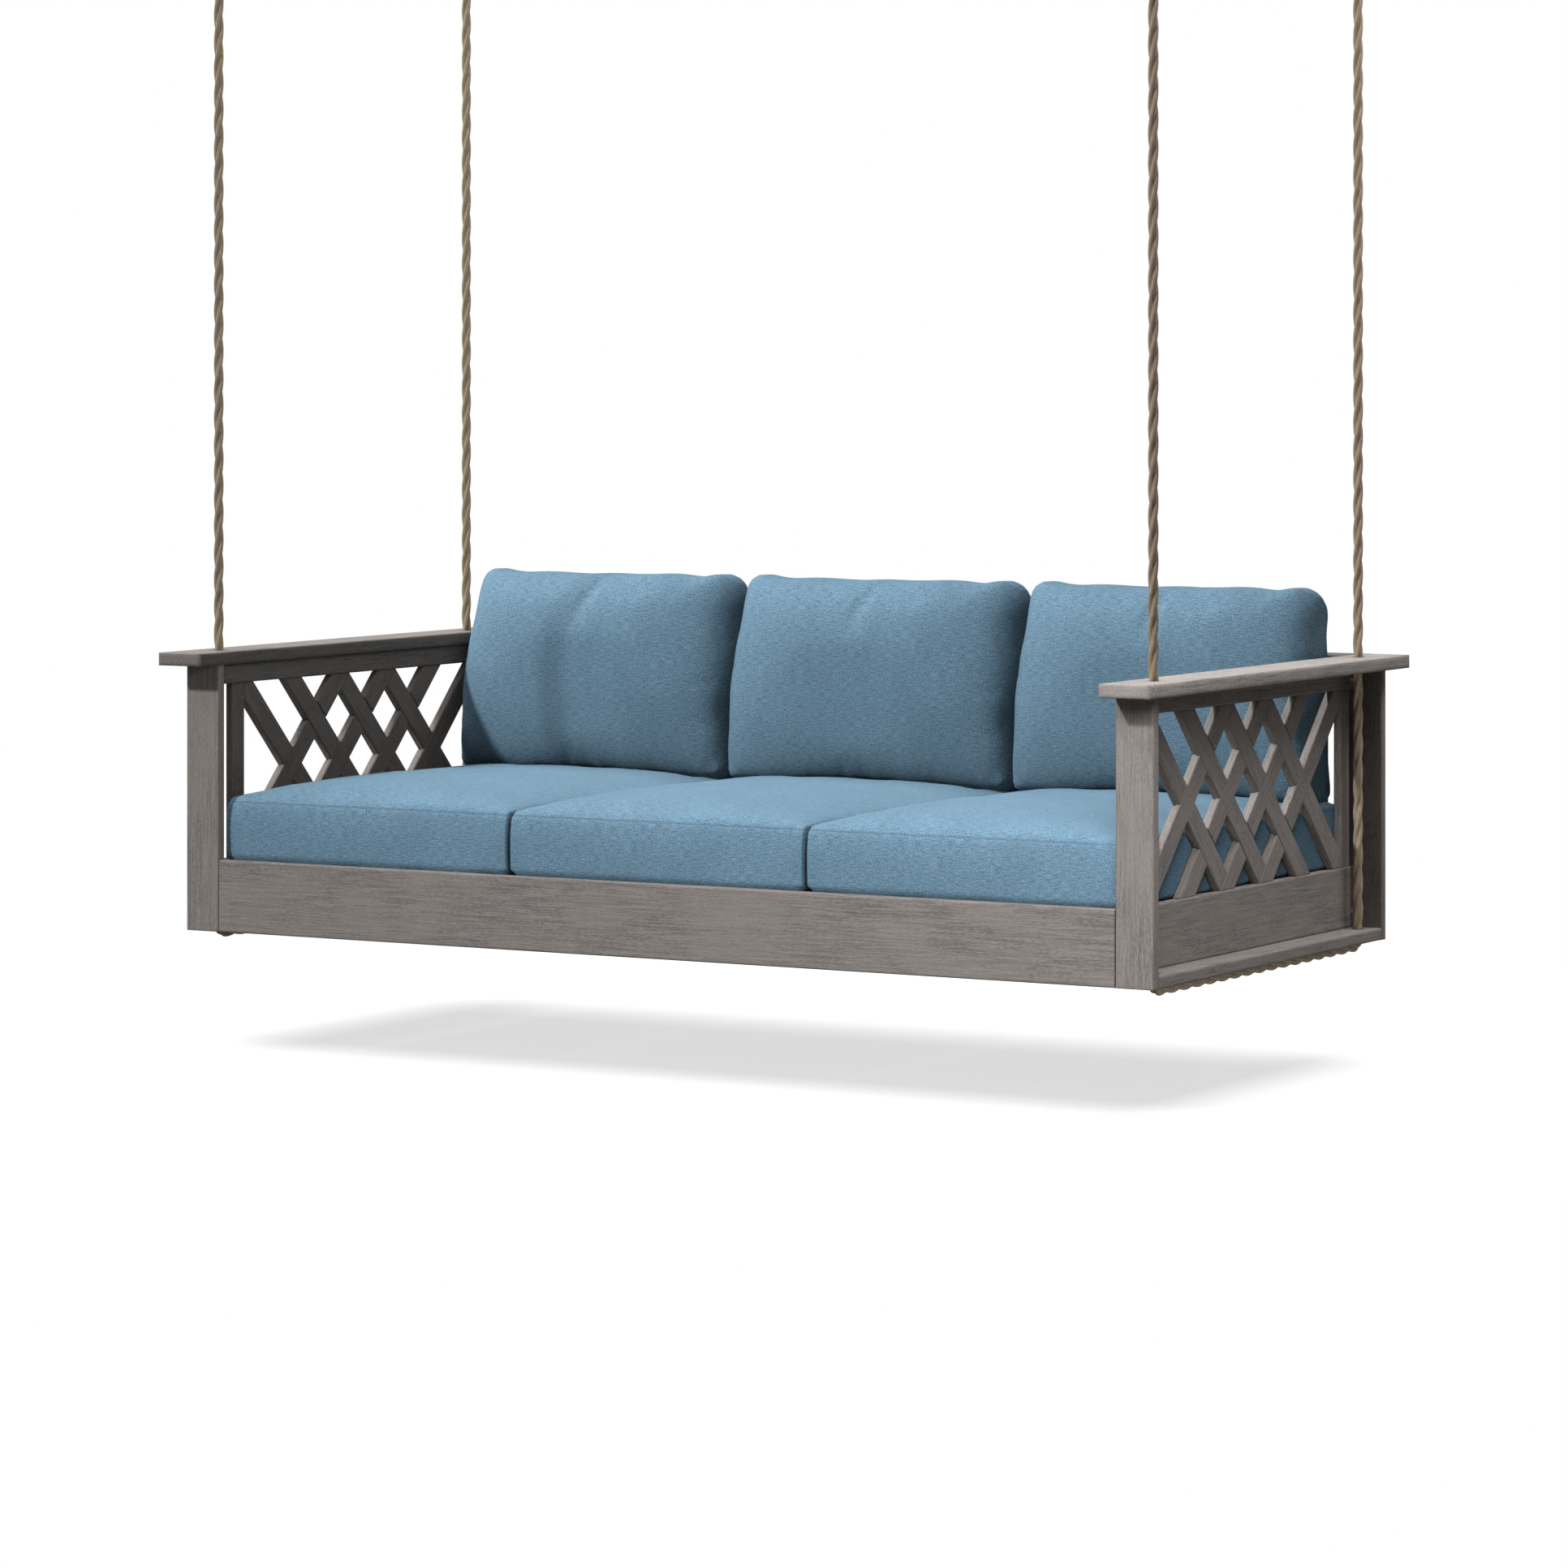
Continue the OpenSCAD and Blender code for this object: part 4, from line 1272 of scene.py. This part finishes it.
class DAYBED_OT_stage(Operator):
    """Lay the pale floor and set up the sun, the panels and the room"""

    bl_idname = "daybed.stage"
    bl_label = "Stage"

    def execute(self, context):
        settings = context.scene.daybed_stage
        floor = self.floor(settings)
        self.lamps(settings, floor)
        self.room(context.scene, settings)
        return {"FINISHED"}

    def floor(self, settings):
        """White paper that keeps the soft shadow and lights nothing from below."""
        bpy.ops.object.select_all(action="DESELECT")
        place = (0, 0, BED_BOTTOM - settings.floor_drop)
        bpy.ops.mesh.primitive_plane_add(size=FLOOR_SIZE, location=place)
        floor = bpy.context.object
        floor.name = "floor"
        material, net, shader = new_material("pale_floor")
        net.fill(shader, {"Base Color": FLOOR_BOUNCE, "Roughness": 0.9})
        lit = net.add("BsdfDiffuse", {"Color": FLOOR_LIT})
        near = net.add("AddShader", {0: lit, 1: net.add("Emission", {"Strength": FLOOR_GLOW})})
        white = net.add("Emission", {"Strength": 1.0})
        place = net.add("TexCoord", out="Object")
        far = net.add("VectorMath", {0: place}, out="Value", operation="LENGTH")
        paper = net.add("MixShader", {0: net.span(far, *FLOOR_FADE), 1: near, 2: white})
        shown = net.add("MixShader", {0: seen_plain(net), 1: shader.outputs[0], 2: paper})
        net.join(shown, material.node_tree.nodes["Material Output"].inputs["Surface"])
        floor.data.materials.append(material)
        return floor

    def lamps(self, settings, floor):
        """The sun and the panels, each with the pieces that it lights."""
        nodes = frame["nodes"]
        right_end = [
            piece for name, piece in nodes.items()
            if name.startswith("right_") and not name.endswith("_rope")
        ]
        right_end.append(nodes["front_right_post"])
        ropes = [piece for piece in bpy.data.objects if piece.name.endswith("_rope")]
        lower = [piece for piece in ropes if piece.name.endswith("_lower_rope")]
        seats = [piece for piece in bpy.data.objects if piece.name.endswith("seat_cushion_cover")]
        fronts = [piece for piece in right_end if piece != nodes["right_top_rail"]]
        fronts += seats + [nodes["front_rail"], nodes["front_left_post"]]
        right_lit = right_end + ropes + [nodes["back_right_post"]]
        unlit = [floor, nodes["back_right_post"]]
        low = [nodes[name] for name in ("front_rail", "left_base_board", "right_base_board")]
        sun = self.lamp("sun", "SUN", SUN_RAY, settings.sun_strength)
        sun.data.angle = math.radians(SUN_WIDTH)
        sun.light_linking.receiver_collection = self.pieces("sunlit", unlit, "EXCLUDE")
        all_but_floor = self.pieces("all_but_floor", [floor], "EXCLUDE")
        receivers = {
            "sky": all_but_floor,
            "left": all_but_floor,
            "right": self.pieces("right_end", right_lit, "INCLUDE"),
            "front": self.pieces("fronts", fronts, "INCLUDE"),
            "low": self.pieces("under_ropes", lower, "INCLUDE"),
            "floor": self.pieces("floor_only", [floor], "INCLUDE"),
        }
        blockers = {"floor": self.pieces("low_pieces", low + seats, "INCLUDE")}
        for name, (place, target, size) in PANELS.items():
            ray = Vector(target) - Vector(place)
            panel = self.lamp(name + "_panel", "AREA", ray, getattr(settings, name + "_power"))
            panel.location = place
            panel.data.size = size
            panel.light_linking.receiver_collection = receivers[name]
            panel.light_linking.blocker_collection = blockers.get(name)

    def pieces(self, name, pieces, state):
        """A collection of the pieces that a lamp lights, or of those that it leaves out."""
        collection = bpy.data.collections.new(name)
        for number, piece in enumerate(pieces):
            collection.objects.link(piece)
            collection.collection_objects[number].light_linking.link_state = state
        return collection

    def lamp(self, name, kind, ray, energy):
        lamp = bpy.data.objects.new(name, bpy.data.lights.new(name, kind))
        lamp.data.energy = energy
        lamp.rotation_euler = Vector(ray).to_track_quat("-Z", "Y").to_euler()
        bpy.context.collection.objects.link(lamp)
        return lamp

    def room(self, scene, settings):
        scene.view_settings.view_transform = "Standard"
        world = bpy.data.worlds.new("room")
        world.use_nodes = True
        scene.world = world
        net = Net(world.node_tree)
        back = world.node_tree.nodes["Background"]
        level = net.span(seen_plain(net), 0.0, 1.0, new_low=settings.room_light)
        net.fill(back, {"Color": (1, 1, 1, 1), "Strength": level})


# ---- Panel and registration ----

OPERATORS = (
    DAYBED_OT_camera,
    DAYBED_OT_finishes,
    DAYBED_OT_under_ropes,
    DAYBED_OT_rope_eyes,
    DAYBED_OT_whippings,
    DAYBED_OT_upper_ropes,
    DAYBED_OT_seat_cushions,
    DAYBED_OT_back_cushions,
    DAYBED_OT_lumber,
    DAYBED_OT_hardware,
    DAYBED_OT_stage,
)

SETTINGS = {
    "daybed_stage": StageSettings,
    "daybed_rope": RopeSettings,
    "daybed_cushions": CushionSettings,
    "daybed_lumber": LumberSettings,
    "daybed_hardware": HardwareSettings,
}


class DAYBED_PT_panel(Panel):
    """The daybed's makers and sizes"""

    bl_label = "Daybed"
    bl_idname = "DAYBED_PT_panel"
    bl_space_type = "VIEW_3D"
    bl_region_type = "UI"
    bl_category = "Daybed"

    def draw(self, context):
        for maker in OPERATORS:
            self.layout.operator(maker.bl_idname)
        for name, group in SETTINGS.items():
            box = self.layout.box()
            for label in group.__annotations__:
                box.prop(getattr(context.scene, name), label)


def register():
    for group in SETTINGS.values():
        bpy.utils.register_class(group)
    for name, group in SETTINGS.items():
        setattr(bpy.types.Scene, name, PointerProperty(type=group))
    for maker in OPERATORS:
        bpy.utils.register_class(maker)
    bpy.utils.register_class(DAYBED_PT_panel)


def unregister():
    bpy.utils.unregister_class(DAYBED_PT_panel)
    for maker in reversed(OPERATORS):
        bpy.utils.unregister_class(maker)
    for name, group in SETTINGS.items():
        delattr(bpy.types.Scene, name)
        bpy.utils.unregister_class(group)


def main():
    register()
    for maker in OPERATORS:
        family, name = maker.bl_idname.split(".")
        getattr(getattr(bpy.ops, family), name)()


if __name__ == "__main__":
    main()
